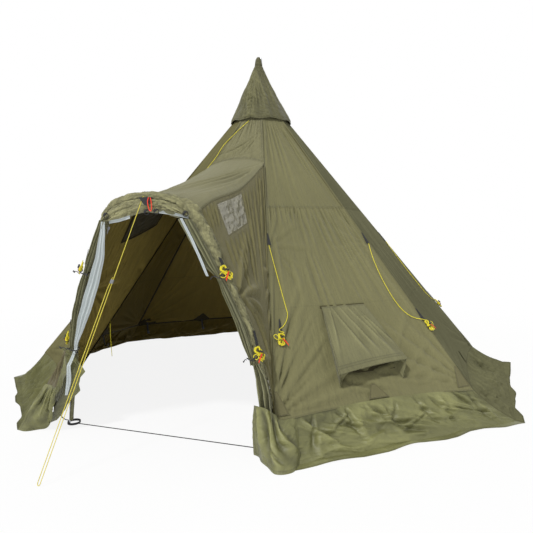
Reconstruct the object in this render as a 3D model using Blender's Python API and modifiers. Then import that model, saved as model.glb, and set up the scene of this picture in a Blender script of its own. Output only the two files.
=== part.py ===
"""Eight-sided pole tent with an arched porch, pitched. Metres, +Z up, the porch faces -Y."""

import math

import bmesh
import bpy
from mathutils import Matrix, Vector

# Walls and skirt
SIDES = 8
HEM_RADIUS = 2.093
HEM_HEIGHT = 0.235
HEM_RISE = 0.02
APEX_HEIGHT = 2.73
# How far the walls' open top lies below the point where their planes meet
WALL_OPEN_TOP = 0.22
WALL_TOP = APEX_HEIGHT - WALL_OPEN_TOP
WALL_SAG = 0.03
WALL_SEAM_HEIGHT = 1.59
FABRIC = 0.003
GAP = 0.0003
SKIRT_FLAP = 0.06
SKIRT_COLUMNS = 14
# How far each skirt's lower edge lies outside the hem's corners, from the porch round to the right,
# and where the skirt left of the porch ends along its face
SKIRT_SPREAD = (-0.003, 0.027, 0.197, 0.147, 0.107, 0.107, 0.107, 0.117)
LEFT_SKIRT_END = 0.66
FOLD_DEPTH = 0.022

# Centre pole
FOOT_RADIUS = 0.035
FOOT_HEIGHT = 0.035
LOWER_TUBE_RADIUS = 0.0125
UPPER_TUBE_RADIUS = 0.0160
TUBE_WALL = 0.0016
SLIDE_CLEARANCE = 0.0004
LOWER_TUBE_TOP = 1.20
UPPER_TUBE_BOTTOM = 0.80
LOCK_RADIUS = 0.0245
LOCK_RIB = 0.0018
LOCK_RIBS = 12
LOCK_LENGTH = 0.055
CROWN_THICKNESS = 0.006
CROWN_RIM = 0.016
CROWN_SPOKE = 0.014
CROWN_HUB = 0.030

# Peak cap: its tip above the point where the walls' planes meet, and its outer radius at each
# drop below the tip
CAP_RISE = 0.303
CAP_TIP_HEIGHT = APEX_HEIGHT + CAP_RISE
CAP_CLOTH = 0.003
CAP_DROPS = ((0.010, 0.005), (0.017, 0.028), (0.024, 0.083), (0.066, 0.213),
             (0.138, 0.353), (0.218, 0.493), (0.294, 0.628))
CAP_PROFILE = tuple((radius, CAP_TIP_HEIGHT - drop) for radius, drop in CAP_DROPS)
TUBE_BELOW_TIP = 0.103
UPPER_TUBE_TOP = CAP_TIP_HEIGHT - TUBE_BELOW_TIP

# Porch arch: half of its centre line from the crown to the foot, as (x, z)
ARCH_ROUTE = ((0.0, 1.612), (0.14, 1.597), (0.225, 1.568), (0.290, 1.518), (0.332, 1.440),
              (0.425, 1.262), (0.520, 1.080), (0.612, 0.855), (0.686, 0.590), (0.738, 0.300),
              (0.800, 0.001))
ARCH_BEHIND_HEM = 0.273
ARCH_FOOT_Y = ARCH_BEHIND_HEM - HEM_RADIUS
ARCH_LEAN = 0.135
ARCH_POLE_RADIUS = 0.006
ARCH_POLE_FOOT = 0.004
SLEEVE_RADIUS = 0.028
SLEEVE_SIDES = 8
SLEEVE_RINGS = 36
SLEEVE_BOTTOM = 0.27
ROOF_REAR_EDGE = 1.97
ROOF_REAR_CROWN = 0.05
ROOF_FRONT_X = 0.300
ROOF_HOLLOW = 1.5
SIDE_TURN_DEPTH = 0.4
WINDOW_DEPTH = (0.03, 0.18)
WINDOW_REACH = (0.42, 0.775)
PANE = 0.0012

# Door
ROLL_RADIUS = 0.030
ROLL_HALF_WIDTH = 0.235
ROLL_END_SHARE = 0.6
CURTAIN_RADIUS = 0.026
CURTAIN_TIE_RADIUS = 0.016
# How far each curtain hangs toward the doorway, as a share of its distance in front of the
# leg, and how far its pleats nest against the sleeve
CURTAIN_INWARD = 0.3
CURTAIN_NESTING = 0.0038
CURTAIN_TOP = 1.45
CURTAIN_TIES = (1.12, 0.62)
CURTAIN_FLARE = 0.10
CURTAIN_BOTTOM = 0.012
ZIP_WIDTH = 0.042
ZIP_THICKNESS = 0.002
ZIP_TOP = 1.44
ZIP_BOTTOM = {"right": 1.17, "left": 0.64}
ZIP_FACING = (-0.6, -0.8)
# Top and bottom of each zip tape's centre, inward and forward of the arch leg
ZIP_SEAT = {"right": ((0.0335, 0.0737), (0.0335, 0.0737)),
            "left": ((0.058, 0.022), (0.029, 0.0675))}
ZIP_SLIDER_SIZE = (0.014, 0.052, 0.004)
STRAP_RADIUS = 0.003
LOOP_RADIUS = 0.042
LOOP_CORD = 0.004

# Vent in the right front wall
VENT_TOP = 0.842
VENT_SILL = 0.362
VENT_HOLE_SHARE = 0.30
WALL_SHARES = (-1.0, -0.65, -VENT_HOLE_SHARE, 0.0, VENT_HOLE_SHARE, 0.65, 1.0)
HOOD_TOP_HALF = 0.185
HOOD_LIP_HALF = 0.288
HOOD_LIP_HEIGHT = 0.500
HOOD_LIP_OUT = 0.112
HOOD_CROWN = 0.018
HOOD_STANDOFF = 0.0018
VENT_ROD_RADIUS = 0.004
GUSSET_THICKNESS = 0.0015
GUSSET_FOOT = (0.258, 0.358)

# Guylines
CORD_RADIUS = 0.00225
CORD_LIFT = 0.0008
PORCH_HANK_HEIGHTS = {"upper": 1.14, "lower": 0.65}
PORCH_HANK_STANDOFF = {"upper": 0.0006, "lower": 0.0014}
PORCH_HANK_FACING = (0.9, -0.43)
HANK_HEIGHT = 0.665
HANK_OFFSET = 0.075
STOWED_HANK_HEIGHT = 1.24
HANK_LENGTH = 0.096
HANK_WIDTH = 0.056
HANK_WAIST = 0.008
HANK_LOOPS = 1.5
HANK_STEP = 0.0064
HANK_LAYER = 0.0056
HANK_POINTS = 12
# Slack line from its tie down to its hank: height, and distance from the ridge along the wall
SLACK_ROUTE = ((1.285, 0.012), (1.22, 0.045), (1.12, 0.085), (1.00, 0.118), (0.87, 0.136),
               (0.79, 0.128), (0.745, 0.100), (0.722, 0.060))
PEG_BEFORE_ARCH = 0.864
FRONT_PEG = (-0.302, ARCH_FOOT_Y - PEG_BEFORE_ARCH)
# Cord from the cap: each point's distance from the middle of its wall and its drop below the walls' top
CAP_CORD_FRONT = ((-0.02, 0.118), (-0.10, 0.220), (-0.19, 0.360))
CAP_CORD_RIDGE = 0.49
CAP_CORD_SIDE = ((0.35, 0.71), (-0.25, 0.93), (-0.72, 1.11), (-0.93, 1.195))
STRAND_SPACING = 0.018
LINE_SLIDER_SHARE = 0.32
LINE_SLIDER_SIZE = (0.034, 0.011, 0.024)
LINE_TAIL = 0.014

HALF_CORNER = math.pi / SIDES
FACE_TURN = 2 * math.pi / SIDES
SLOPE = HEM_RADIUS / (APEX_HEIGHT - HEM_HEIGHT)
FACE_SLOPE = SLOPE * math.cos(HALF_CORNER)
SKIRT_SEAM_INSET = FABRIC * 0.55
SEAM_INSET = (FABRIC / 2 * math.sin(HALF_CORNER) + GAP / 2) / math.cos(HALF_CORNER)
UP = Vector((0.0, 0.0, 1.0))
FACES = {"right_front": 1, "right": 2, "right_rear": 3, "rear": 4, "left_rear": 5,
         "left": 6, "left_front": 7}


def clear_scene():
    for obj in list(bpy.data.objects):
        bpy.data.objects.remove(obj, do_unlink=True)


def material(name, colour, roughness, metallic=0.0):
    found = bpy.data.materials.new(name)
    found.use_nodes = True
    shader = found.node_tree.nodes["Principled BSDF"]
    shader.inputs["Base Color"].default_value = (*colour, 1.0)
    shader.inputs["Roughness"].default_value = roughness
    shader.inputs["Metallic"].default_value = metallic
    return found


def place(name, data, finish, at=(0.0, 0.0, 0.0)):
    obj = bpy.data.objects.new(name, data)
    obj.location = at
    obj.data.materials.append(finish)
    PARTS.objects.link(obj)
    return obj


def heading(turn):
    """Horizontal direction out of the tent at this turn from the porch, positive to +X."""
    return Vector((math.sin(turn), -math.cos(turn), 0.0))


def across(turn):
    """Horizontal direction to the right of someone who looks at the tent from heading(turn)."""
    return Vector((math.cos(turn), math.sin(turn), 0.0))


def wall_radius(height):
    return SLOPE * (APEX_HEIGHT - height)


def ridge(turn, height):
    return heading(turn) * wall_radius(height) + UP * height


def hem_height(share):
    return HEM_HEIGHT + HEM_RISE * (1 - share * share)


def wall_point(face, share, height, inset=SEAM_INSET):
    """Middle of the wall cloth; share runs from -1 at the left ridge to 1 at the right one."""
    turn = face * FACE_TURN
    corner = wall_radius(height)
    half = corner * math.sin(HALF_CORNER) - inset
    sag = WALL_SAG * (1 - share * share) * corner / HEM_RADIUS
    return (heading(turn) * (corner * math.cos(HALF_CORNER) - sag)
            + across(turn) * (half * share) + UP * height)


def strip_point(face, share, height):
    """The same place on the flat strips that the wall is built of, for what lies on the cloth."""
    for left, right in zip(WALL_SHARES, WALL_SHARES[1:]):
        if left <= share <= right:
            part = (share - left) / (right - left)
            return wall_point(face, left, height).lerp(wall_point(face, right, height), part)
    return wall_point(face, share, height)


def wall_normal(face):
    out = heading(face * FACE_TURN) + UP * FACE_SLOPE
    return out.normalized()


def sheet(name, rows, finish, holes=(), thickness=FABRIC):
    """Cloth of even thickness over a grid; rows run upward and each row to the right, seen from outside."""
    cloth = bmesh.new()
    grid = [[cloth.verts.new(point) for point in row] for row in rows]
    for i in range(len(rows) - 1):
        for j in range(len(rows[0]) - 1):
            if (i, j) not in holes:
                cloth.faces.new((grid[i][j], grid[i][j + 1], grid[i + 1][j + 1], grid[i + 1][j]))
    loose = [vert for vert in cloth.verts if not vert.link_faces]
    bmesh.ops.delete(cloth, geom=loose, context="VERTS")
    return solid_cloth(name, cloth, finish, thickness)


def solid_cloth(name, cloth, finish, thickness):
    data = bpy.data.meshes.new(name)
    cloth.to_mesh(data)
    cloth.free()
    obj = place(name, data, finish)
    shell = obj.modifiers.new("thickness", "SOLIDIFY")
    shell.thickness = thickness
    shell.offset = 0.0
    return obj


def loft(name, rings, finish, capped=True):
    """Closed skin through rings of equal count, each listed anticlockwise seen from the last ring's side."""
    skin = bmesh.new()
    loops = [[skin.verts.new(point) for point in ring] for ring in rings]
    count = len(rings[0])
    for low, high in zip(loops, loops[1:]):
        for j in range(count):
            k = (j + 1) % count
            skin.faces.new((low[j], low[k], high[k], high[j]))
    if capped:
        skin.faces.new(list(reversed(loops[0])))
        skin.faces.new(loops[-1])
    data = bpy.data.meshes.new(name)
    skin.to_mesh(data)
    skin.free()
    data.shade_smooth()
    return place(name, data, finish)


def turned(name, profile, finish, closed=False, steps=24, at=(0.0, 0.0, 0.0)):
    """A profile of (radius, height), listed down its outer side, turned about the vertical axis."""
    points = [(radius, 0.0, height) for radius, height in profile]
    edges = [(i, i + 1) for i in range(len(points) - 1)]
    if closed:
        edges.append((len(points) - 1, 0))
    data = bpy.data.meshes.new(name)
    data.from_pydata(points, edges, [])
    obj = place(name, data, finish, at)
    screw = obj.modifiers.new("turn", "SCREW")
    screw.steps = steps
    screw.render_steps = steps
    screw.use_merge_vertices = True
    screw.merge_threshold = 0.0001
    screw.use_smooth_shade = True
    return obj


def tube(name, route, radius, finish, detail=2, scales=None):
    data = bpy.data.curves.new(name, "CURVE")
    data.dimensions = "3D"
    data.bevel_depth = radius
    data.bevel_resolution = detail
    data.use_fill_caps = True
    line = data.splines.new("POLY")
    line.points.add(len(route) - 1)
    for i, point in enumerate(route):
        line.points[i].co = (*point, 1.0)
        line.points[i].radius = scales[i] if scales else 1.0
    return place(name, data, finish)


def plate(name, outlines, thickness, finish):
    """Flat plate in its own XY plane: the first outline is the edge and the others are holes."""
    data = bpy.data.curves.new(name, "CURVE")
    data.dimensions = "2D"
    data.fill_mode = "BOTH"
    data.extrude = thickness / 2
    for outline in outlines:
        line = data.splines.new("POLY")
        line.points.add(len(outline) - 1)
        for i, (x, y) in enumerate(outline):
            line.points[i].co = (x, y, 0.0, 1.0)
        line.use_cyclic_u = True
    return place(name, data, finish)


def circle(radius, count, centre=(0.0, 0.0), start=0.0):
    turns = [start + 2 * math.pi * i / count for i in range(count)]
    return [(centre[0] + radius * math.cos(t), centre[1] + radius * math.sin(t)) for t in turns]


def arc(radius, start, end, count):
    turns = [start + (end - start) * i / (count - 1) for i in range(count)]
    return [(radius * math.cos(t), radius * math.sin(t)) for t in turns]


def smooth_route(knots, count):
    """Points evenly spaced along a smooth curve through the knots."""
    knots = [Vector(knot) for knot in knots]
    ends = [knots[0] * 2 - knots[1]] + knots + [knots[-1] * 2 - knots[-2]]
    fine = []
    for a, b, c, d in zip(ends, ends[1:], ends[2:], ends[3:]):
        for i in range(16):
            t = i / 16
            fine.append(0.5 * (2 * b + (c - a) * t + (2 * a - 5 * b + 4 * c - d) * t * t
                               + (3 * b - a - 3 * c + d) * t ** 3))
    fine.append(knots[-1])
    lengths = [0.0]
    for a, b in zip(fine, fine[1:]):
        lengths.append(lengths[-1] + (b - a).length)
    route = []
    k = 0
    for i in range(count):
        want = lengths[-1] * i / (count - 1)
        while k < len(fine) - 2 and lengths[k + 1] < want:
            k += 1
        span = lengths[k + 1] - lengths[k]
        route.append(fine[k].lerp(fine[k + 1], (want - lengths[k]) / span if span else 0.0))
    return route


def arch_y(height):
    return ARCH_FOOT_Y - ARCH_LEAN * height


def arch_point(x, z, side=1):
    return Vector((side * x, arch_y(z), z))


def arch_leg_x(height):
    """Distance of the arch's centre line from the middle of the porch, at this height of a leg."""
    for (x1, z1), (x2, z2) in zip(ARCH_ROUTE, ARCH_ROUTE[1:]):
        if z2 <= height <= z1:
            return x1 + (x2 - x1) * (z1 - height) / (z1 - z2)
    return ARCH_ROUTE[-1][0]


def arch_frames(count, bottom):
    """Points from the left leg over the crown to the right leg, each with its outward direction."""
    half = [arch_point(x, z) for x, z in ARCH_ROUTE if z > bottom]
    half.append(arch_point(arch_leg_x(bottom), bottom))
    left = [Vector((-p.x, p.y, p.z)) for p in reversed(half[1:])]
    route = smooth_route(left + half, count)
    plane = Vector((0.0, -1.0, ARCH_LEAN)).normalized()
    frames = []
    for i, point in enumerate(route):
        along = (route[min(i + 1, count - 1)] - route[max(i - 1, 0)]).normalized()
        frames.append((point, along.cross(plane).normalized() * -1, plane))
    return frames


def build_pole(metal, plastic, rubber):
    turned("pole_foot",
           [(0.0, FOOT_HEIGHT), (LOWER_TUBE_RADIUS + 0.003, FOOT_HEIGHT),
            (LOWER_TUBE_RADIUS + 0.006, FOOT_HEIGHT * 0.8), (LOWER_TUBE_RADIUS + 0.008, FOOT_HEIGHT * 0.35),
            (FOOT_RADIUS, FOOT_HEIGHT * 0.2), (FOOT_RADIUS, 0.0), (0.0, 0.0)], rubber)
    hollow_tube("pole_lower_tube", LOWER_TUBE_RADIUS, FOOT_HEIGHT + GAP, LOWER_TUBE_TOP,
                LOWER_TUBE_RADIUS - TUBE_WALL, metal)
    bore = LOWER_TUBE_RADIUS + SLIDE_CLEARANCE
    tip = [(radius - CAP_CLOTH - 2 * GAP, height - CAP_CLOTH - 2 * GAP)
           for radius, height in CAP_PROFILE[:2]]
    turned("pole_upper_tube",
           [(0.0, CAP_TIP_HEIGHT - 2 * CAP_CLOTH - 2 * GAP)] + tip
           + [(UPPER_TUBE_RADIUS, UPPER_TUBE_TOP), (UPPER_TUBE_RADIUS, UPPER_TUBE_BOTTOM),
              (bore, UPPER_TUBE_BOTTOM), (bore, UPPER_TUBE_TOP), (0.0, UPPER_TUBE_TOP)], metal)
    lock = plate("pole_lock_ring",
                 [lock_outline(), circle((UPPER_TUBE_RADIUS + GAP) / math.cos(math.pi / 24), 24)],
                 LOCK_LENGTH, plastic)
    lock.location.z = UPPER_TUBE_BOTTOM + LOCK_LENGTH / 2


def lock_outline():
    points = []
    for i in range(LOCK_RIBS * 4):
        turn = 2 * math.pi * i / (LOCK_RIBS * 4)
        radius = LOCK_RADIUS + (LOCK_RIB if i % 4 in (1, 2) else 0.0)
        points.append((radius * math.cos(turn), radius * math.sin(turn)))
    return points


def hollow_tube(name, outer, bottom, top, inner, finish):
    turned(name, [(outer, top), (outer, bottom), (inner, bottom), (inner, top)], finish, closed=True)


def build_crown(plastic):
    """Spoked ring on the pole that the walls hang from."""
    top = WALL_TOP - 0.012
    apothem = wall_radius(top) * math.cos(HALF_CORNER)
    sag = WALL_SAG * wall_radius(top) / HEM_RADIUS
    cloth = FABRIC / 2 * math.sqrt(1 + FACE_SLOPE ** 2)
    outer = apothem - sag - cloth - GAP
    inner = outer - CROWN_RIM
    holes = [circle((UPPER_TUBE_RADIUS + GAP) / math.cos(math.pi / 24), 24)]
    for i in range(4):
        start = i * math.pi / 2
        rim = math.asin(CROWN_SPOKE / 2 / inner)
        hub = math.asin(CROWN_SPOKE / 2 / CROWN_HUB)
        holes.append(arc(inner, start + rim, start + math.pi / 2 - rim, 8)
                     + arc(CROWN_HUB, start + math.pi / 2 - hub, start + hub, 4))
    ring = plate("crown_ring", [circle(outer, 32)] + holes, CROWN_THICKNESS, plastic)
    ring.location.z = top - CROWN_THICKNESS / 2


def build_cap(cloth):
    outer = [(0.0, CAP_TIP_HEIGHT)] + list(CAP_PROFILE)
    inner = [(radius - CAP_CLOTH, height - CAP_CLOTH) for radius, height in CAP_PROFILE]
    inner[-1] = (CAP_PROFILE[-1][0] - CAP_CLOTH * 1.5, CAP_PROFILE[-1][1])
    turned("peak_cap", outer + inner[::-1] + [(0.0, CAP_TIP_HEIGHT - 2 * CAP_CLOTH)], cloth,
           steps=2 * SIDES)


def build_walls(cloth):
    heights = (VENT_SILL, VENT_TOP, WALL_SEAM_HEIGHT, (WALL_SEAM_HEIGHT + WALL_TOP) / 2, WALL_TOP)
    for name, face in FACES.items():
        rows = [[wall_point(face, share, hem_height(share)) for share in WALL_SHARES]]
        rows += [[wall_point(face, share, height) for share in WALL_SHARES] for height in heights]
        holes = ((1, 2), (1, 3)) if name == "right_front" else ()
        sheet("wall_" + name, rows, cloth, holes)


def gore_height(share):
    return ROOF_REAR_EDGE + ROOF_REAR_CROWN * (1 - share * share)


def build_front_gore(cloth):
    shares = (-1.0, -0.6, -0.2, 0.2, 0.6, 1.0)
    lift = FABRIC
    rows = [[wall_point(0, share, gore_height(share) + lift) for share in shares]]
    middle = (ROOF_REAR_EDGE + WALL_TOP) / 2
    rows += [[wall_point(0, share, height) for share in shares] for height in (middle, WALL_TOP)]
    sheet("front_gore", rows, cloth)


def skirt_reach(face):
    """Distance of a skirt's lower edge from the pole."""
    return HEM_RADIUS + SKIRT_SPREAD[face]


def skirt_fold(face, share, depth):
    """How far the skirt stands out at this share of its face; depth runs from 0 at the hem to 1."""
    fade = (1 - share ** 4) * math.sin(math.pi * depth) ** 0.8
    wave = math.sin(7.3 * share + 1.9 * face) + 0.6 * math.sin(13.1 * share + 0.7 * face)
    return FOLD_DEPTH * wave * fade


def skirt_end(face, side, back):
    """Where a skirt's edge, this far back from its outer line, meets the next skirt's, along the face."""
    if face == FACES["left_front"] and side == 1:
        return LEFT_SKIRT_END + 0.4 * back
    own = skirt_reach(face) - back
    other = skirt_reach((face + side) % SIDES) - back
    return side * (other - own * math.cos(FACE_TURN)) / math.sin(FACE_TURN)


def skirt_ground(face, share, back):
    """Middle of the skirt cloth where it lies on the ground, this far back from its outer line."""
    turn = face * FACE_TURN
    left = skirt_end(face, -1, back) + SKIRT_SEAM_INSET
    right = skirt_end(face, 1, back) - SKIRT_SEAM_INSET
    along = left + (right - left) * (share + 1) / 2
    return heading(turn) * (skirt_reach(face) - back) + across(turn) * along + UP * (FABRIC / 2)


def skirt_point(face, share, depth):
    """Middle of the skirt cloth from the hem (depth 0) to the ground (depth 1)."""
    point = wall_point(face, share, hem_height(share)).lerp(skirt_ground(face, share, SKIRT_FLAP), depth)
    return point + heading(face * FACE_TURN) * skirt_fold(face, share, depth)


def build_skirts(cloth):
    shares = [-1 + 2 * i / SKIRT_COLUMNS for i in range(SKIRT_COLUMNS + 1)]
    seam = 0.009
    for name, face in FACES.items():
        rows = [[skirt_ground(face, share, flap_back(face, share)) for share in shares]]
        rows += [[skirt_point(face, share, depth) for share in shares] for depth in (1.0, 0.7, 0.35, seam)]
        sheet("skirt_" + name, rows, cloth)


def flap_back(face, share):
    """How far the wavy lower edge stays back from the outer line."""
    return SKIRT_FLAP * 0.45 * math.sin(5 * share + face) ** 2 * (1 - share ** 4)


def roof_edge(reach, side):
    """The seam between the porch roof and a side panel, from the wall's ridge (0) to the arch (1)."""
    return roof_point(side, reach)


def roof_point(share, reach):
    """Middle of the roof cloth: share -1 to 1 across, reach 0 at the wall and 1 at the arch."""
    back = wall_point(0, share, gore_height(share))
    x = ROOF_FRONT_X * share
    z = arch_height(abs(x))
    rest = SLEEVE_RADIUS + FABRIC + 2 * GAP
    front = Vector((x * (1 + rest / ROOF_FRONT_X * 0.4), arch_y(z) + rest * 0.72, z + rest * 0.72))
    drop = 1 - (1 - reach) ** ROOF_HOLLOW
    point = back.lerp(front, reach)
    point.z = back.z + (front.z - back.z) * drop
    return point


def arch_height(x):
    for (x1, z1), (x2, z2) in zip(ARCH_ROUTE, ARCH_ROUTE[1:]):
        if x1 <= x <= x2:
            return z1 + (z2 - z1) * (x - x1) / (x2 - x1)
    return ARCH_ROUTE[-1][1]


def build_roof(cloth):
    shares = [-1 + 2 * i / 8 for i in range(9)]
    reaches = (1.0, 0.85, 0.70, 0.55, 0.40, 0.26, 0.13, 0.0)
    rows = [[roof_point(share, reach) for share in shares] for reach in reaches]
    sheet("porch_roof", rows, cloth)


def side_point(side, depth, reach):
    """Middle of a porch side panel: depth 0 at the roof and 1 at the hem, reach 0 at the ridge."""
    clear = FABRIC + GAP
    rear = ridge(side * HALF_CORNER, ROOF_REAR_EDGE + (HEM_HEIGHT - ROOF_REAR_EDGE) * depth)
    rear -= across(side * HALF_CORNER) * (side * (FABRIC * 0.75 + GAP))
    top = arch_height(ROOF_FRONT_X)
    z = top + (SLEEVE_BOTTOM - top) * depth
    leg = arch_point(arch_leg_x(z) if depth > 0 else ROOF_FRONT_X, z, side)
    turn = math.pi / 2 * (1 - max(0.0, (depth - SIDE_TURN_DEPTH) / (1 - SIDE_TURN_DEPTH)))
    toward = Vector((side * math.cos(turn), math.sin(turn), 0.0))
    front = leg + toward * (SLEEVE_RADIUS + 2.3 * clear)
    seam = roof_edge(reach, side)
    point = rear.lerp(front, reach)
    top_line = ridge(side * HALF_CORNER, ROOF_REAR_EDGE).lerp(
        Vector((side * ROOF_FRONT_X, arch_y(top), top)), reach)
    pull = (1 - depth) ** 1.5
    point.z += (seam.z - top_line.z - clear * 1.8) * pull
    point.x += (seam.x - top_line.x) * pull
    return point


def build_sides(cloth, pane, window_cloth):
    depths = (0.0, WINDOW_DEPTH[0], WINDOW_DEPTH[1], 0.42, 0.62, 0.80, 0.92, 1.0)
    reaches = (0.0, 0.16, WINDOW_REACH[0], 0.60, WINDOW_REACH[1], 0.88, 0.99)
    for side_name, side in (("right", 1), ("left", -1)):
        order = reaches[::-1] if side == 1 else reaches
        rows = [[side_point(side, depth, reach) for reach in order] for depth in depths[::-1]]
        last = len(depths) - 2
        holes = ((last - 1, 2), (last - 1, 3))
        sheet("porch_side_" + side_name, rows, cloth, holes)
        rim = 0.0004
        low, high = WINDOW_DEPTH[1] - rim, WINDOW_DEPTH[0] + rim
        spans = (WINDOW_REACH[0] + rim, 0.60, WINDOW_REACH[1] - rim)
        order = spans[::-1] if side == 1 else spans
        rows = [[side_point(side, depth, reach) for reach in order] for depth in (low, high)]
        sheet("window_" + side_name, rows, window_cloth, thickness=PANE)


def arch_pole_route():
    """The arch pole lies against the outer side of its sleeve's bore, and stands on the ground."""
    frames = arch_frames(SLEEVE_RINGS, SLEEVE_BOTTOM)
    side = math.cos(math.pi / SLEEVE_SIDES)
    offset = SLEEVE_RADIUS - FABRIC / 2 - (ARCH_POLE_RADIUS + 1.5 * GAP) / side
    route = [point + out * offset for point, out, plane in frames]
    for end, inner in ((0, 1), (-1, -2)):
        down = (route[end] - route[inner]).normalized()
        foot = route[end] + down * ((route[end].z - ARCH_POLE_FOOT) / -down.z)
        route.insert(0 if end == 0 else len(route), foot)
    return route


def build_arch(pole_finish, sleeve_finish):
    tube("arch_pole", arch_pole_route(), ARCH_POLE_RADIUS, pole_finish)
    rings = []
    for point, out, plane in arch_frames(SLEEVE_RINGS, SLEEVE_BOTTOM):
        ring = []
        for i in range(SLEEVE_SIDES + 1):
            turn = 2 * math.pi * i / SLEEVE_SIDES
            ring.append(point + (out * math.cos(turn) + plane * math.sin(turn)) * SLEEVE_RADIUS)
        rings.append(ring)
    build_sleeve(rings, sleeve_finish)


def build_sleeve(rings, finish):
    """Open-ended fabric tube: a grid whose last column is its first."""
    cloth = bmesh.new()
    grid = [[cloth.verts.new(point) for point in ring[:-1]] for ring in rings]
    for low, high in zip(grid, grid[1:]):
        for j in range(SLEEVE_SIDES):
            k = (j + 1) % SLEEVE_SIDES
            cloth.faces.new((low[k], low[j], high[j], high[k]))
    bmesh.ops.recalc_face_normals(cloth, faces=cloth.faces)
    solid_cloth("arch_sleeve", cloth, finish, FABRIC)


def build_door_roll(cloth):
    """The rolled-up middle of the door, tied under the arch."""
    route = []
    for i in range(13):
        x = -ROLL_HALF_WIDTH + 2 * ROLL_HALF_WIDTH * i / 12
        z = arch_height(abs(x))
        drop = (SLEEVE_RADIUS + FABRIC / 2 + ROLL_RADIUS * 1.07) / math.cos(x * 2.0)
        route.append(Vector((x, arch_y(z), z - drop)))
    scales = [1 - 0.1 * (i % 3 == 1) + 0.05 * math.sin(2.3 * i) for i in range(13)]
    scales[0] = scales[-1] = ROLL_END_SHARE
    tube("door_roll", route, ROLL_RADIUS, cloth, detail=3, scales=scales)


def curtain_centre(side, height):
    """A tied-back curtain hangs in front of its arch leg, and spreads below the lower tie."""
    reach = SLEEVE_RADIUS + FABRIC / 2 + CURTAIN_RADIUS * 1.06 - CURTAIN_NESTING
    leg = arch_point(arch_leg_x(height), height, side)
    spread = max(0.0, 1 - height / CURTAIN_TIES[1])
    toward = Vector((-CURTAIN_INWARD * side, -1.0, 0.0)).normalized()
    return leg + toward * reach + Vector((0.01 * side, -0.06, 0.0)) * spread


def curtain_size(height):
    """Half the curtain's width and half its thickness."""
    low = CURTAIN_TIES[1]
    if height < low:
        spread = 1 - height / low
        return (CURTAIN_TIE_RADIUS + (CURTAIN_FLARE - CURTAIN_TIE_RADIUS) * spread,
                CURTAIN_TIE_RADIUS + 0.006 * spread)
    near = min(abs(height - tie) for tie in CURTAIN_TIES)
    full = CURTAIN_TIE_RADIUS + (CURTAIN_RADIUS - CURTAIN_TIE_RADIUS) * min(1.0, near / 0.09)
    return full, full


def build_curtain(side_name, side, cloth):
    heights = (CURTAIN_BOTTOM, 0.1, 0.2, 0.33, 0.45, 0.55, 0.62, 0.68, 0.78, 0.92, 1.04,
               1.12, 1.18, 1.28, 1.38, CURTAIN_TOP)
    wide = Vector((0.66 * side, -0.75, 0.0))
    deep = Vector((0.75 * side, 0.66, 0.0))
    rings = []
    for height in heights:
        centre = curtain_centre(side, height)
        half, thick = curtain_size(height)
        blend = max(0.0, 1 - height / CURTAIN_TIES[1])
        along = Vector((side, 0.0, 0.0)).lerp(wide, min(1.0, blend * 2)).normalized()
        back = Vector((0.0, 1.0, 0.0)).lerp(deep, min(1.0, blend * 2)).normalized()
        ring = []
        for i in range(16):
            turn = 2 * math.pi * i / 16
            pleat = 1 + 0.06 * math.cos(5 * turn + 2.2 * height)
            ring.append(centre + (along * (half * math.cos(turn)) + back * (thick * math.sin(turn))) * pleat)
        rings.append(ring if side == 1 else ring[::-1])
    loft("door_curtain_" + side_name, rings, cloth)


def zip_facing(side):
    return Vector((side * ZIP_FACING[0], ZIP_FACING[1], 0.0))


def zip_end(side, height, seat):
    """An end of the zip tape's centre line, beside the curtain's inner front."""
    inward, forward = seat
    return arch_point(arch_leg_x(height), height, side) + Vector((-side * inward, -forward, 0.0))


def build_zip(side_name, side, tape, plastic):
    top = zip_end(side, ZIP_TOP, ZIP_SEAT[side_name][0])
    bottom = zip_end(side, ZIP_BOTTOM[side_name], ZIP_SEAT[side_name][1])
    along = (bottom - top).normalized()
    wide = along.cross(zip_facing(side)).normalized()
    front = wide.cross(along).normalized()
    strip = plate("zip_tape_" + side_name,
                  [[(-ZIP_WIDTH / 2, -0.5), (ZIP_WIDTH / 2, -0.5), (ZIP_WIDTH / 2, 0.5), (-ZIP_WIDTH / 2, 0.5)]],
                  ZIP_THICKNESS, tape)
    length = (bottom - top).length
    for point in strip.data.splines[0].points:
        point.co.y *= length
    orient(strip, top.lerp(bottom, 0.5), wide, along, front)
    width, reach, depth = ZIP_SLIDER_SIZE
    half = width / 2
    neck = half * 0.4
    outline = [(-half, 0.0), (half, 0.0), (half, reach * 0.32), (neck, reach * 0.42), (neck, reach * 0.9),
               (neck * 0.6, reach), (-neck * 0.6, reach), (-neck, reach * 0.9), (-neck, reach * 0.42),
               (-half, reach * 0.32)]
    slider = plate("zip_slider_" + side_name, [outline], depth, plastic)
    seat = top + along * 0.012 + front * (ZIP_THICKNESS / 2 + GAP + depth / 2)
    orient(slider, seat, wide, along, front)


def orient(obj, at, x_axis, y_axis, z_axis):
    obj.location = at
    obj.rotation_euler = Matrix((x_axis, y_axis, z_axis)).transposed().to_euler()


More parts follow.
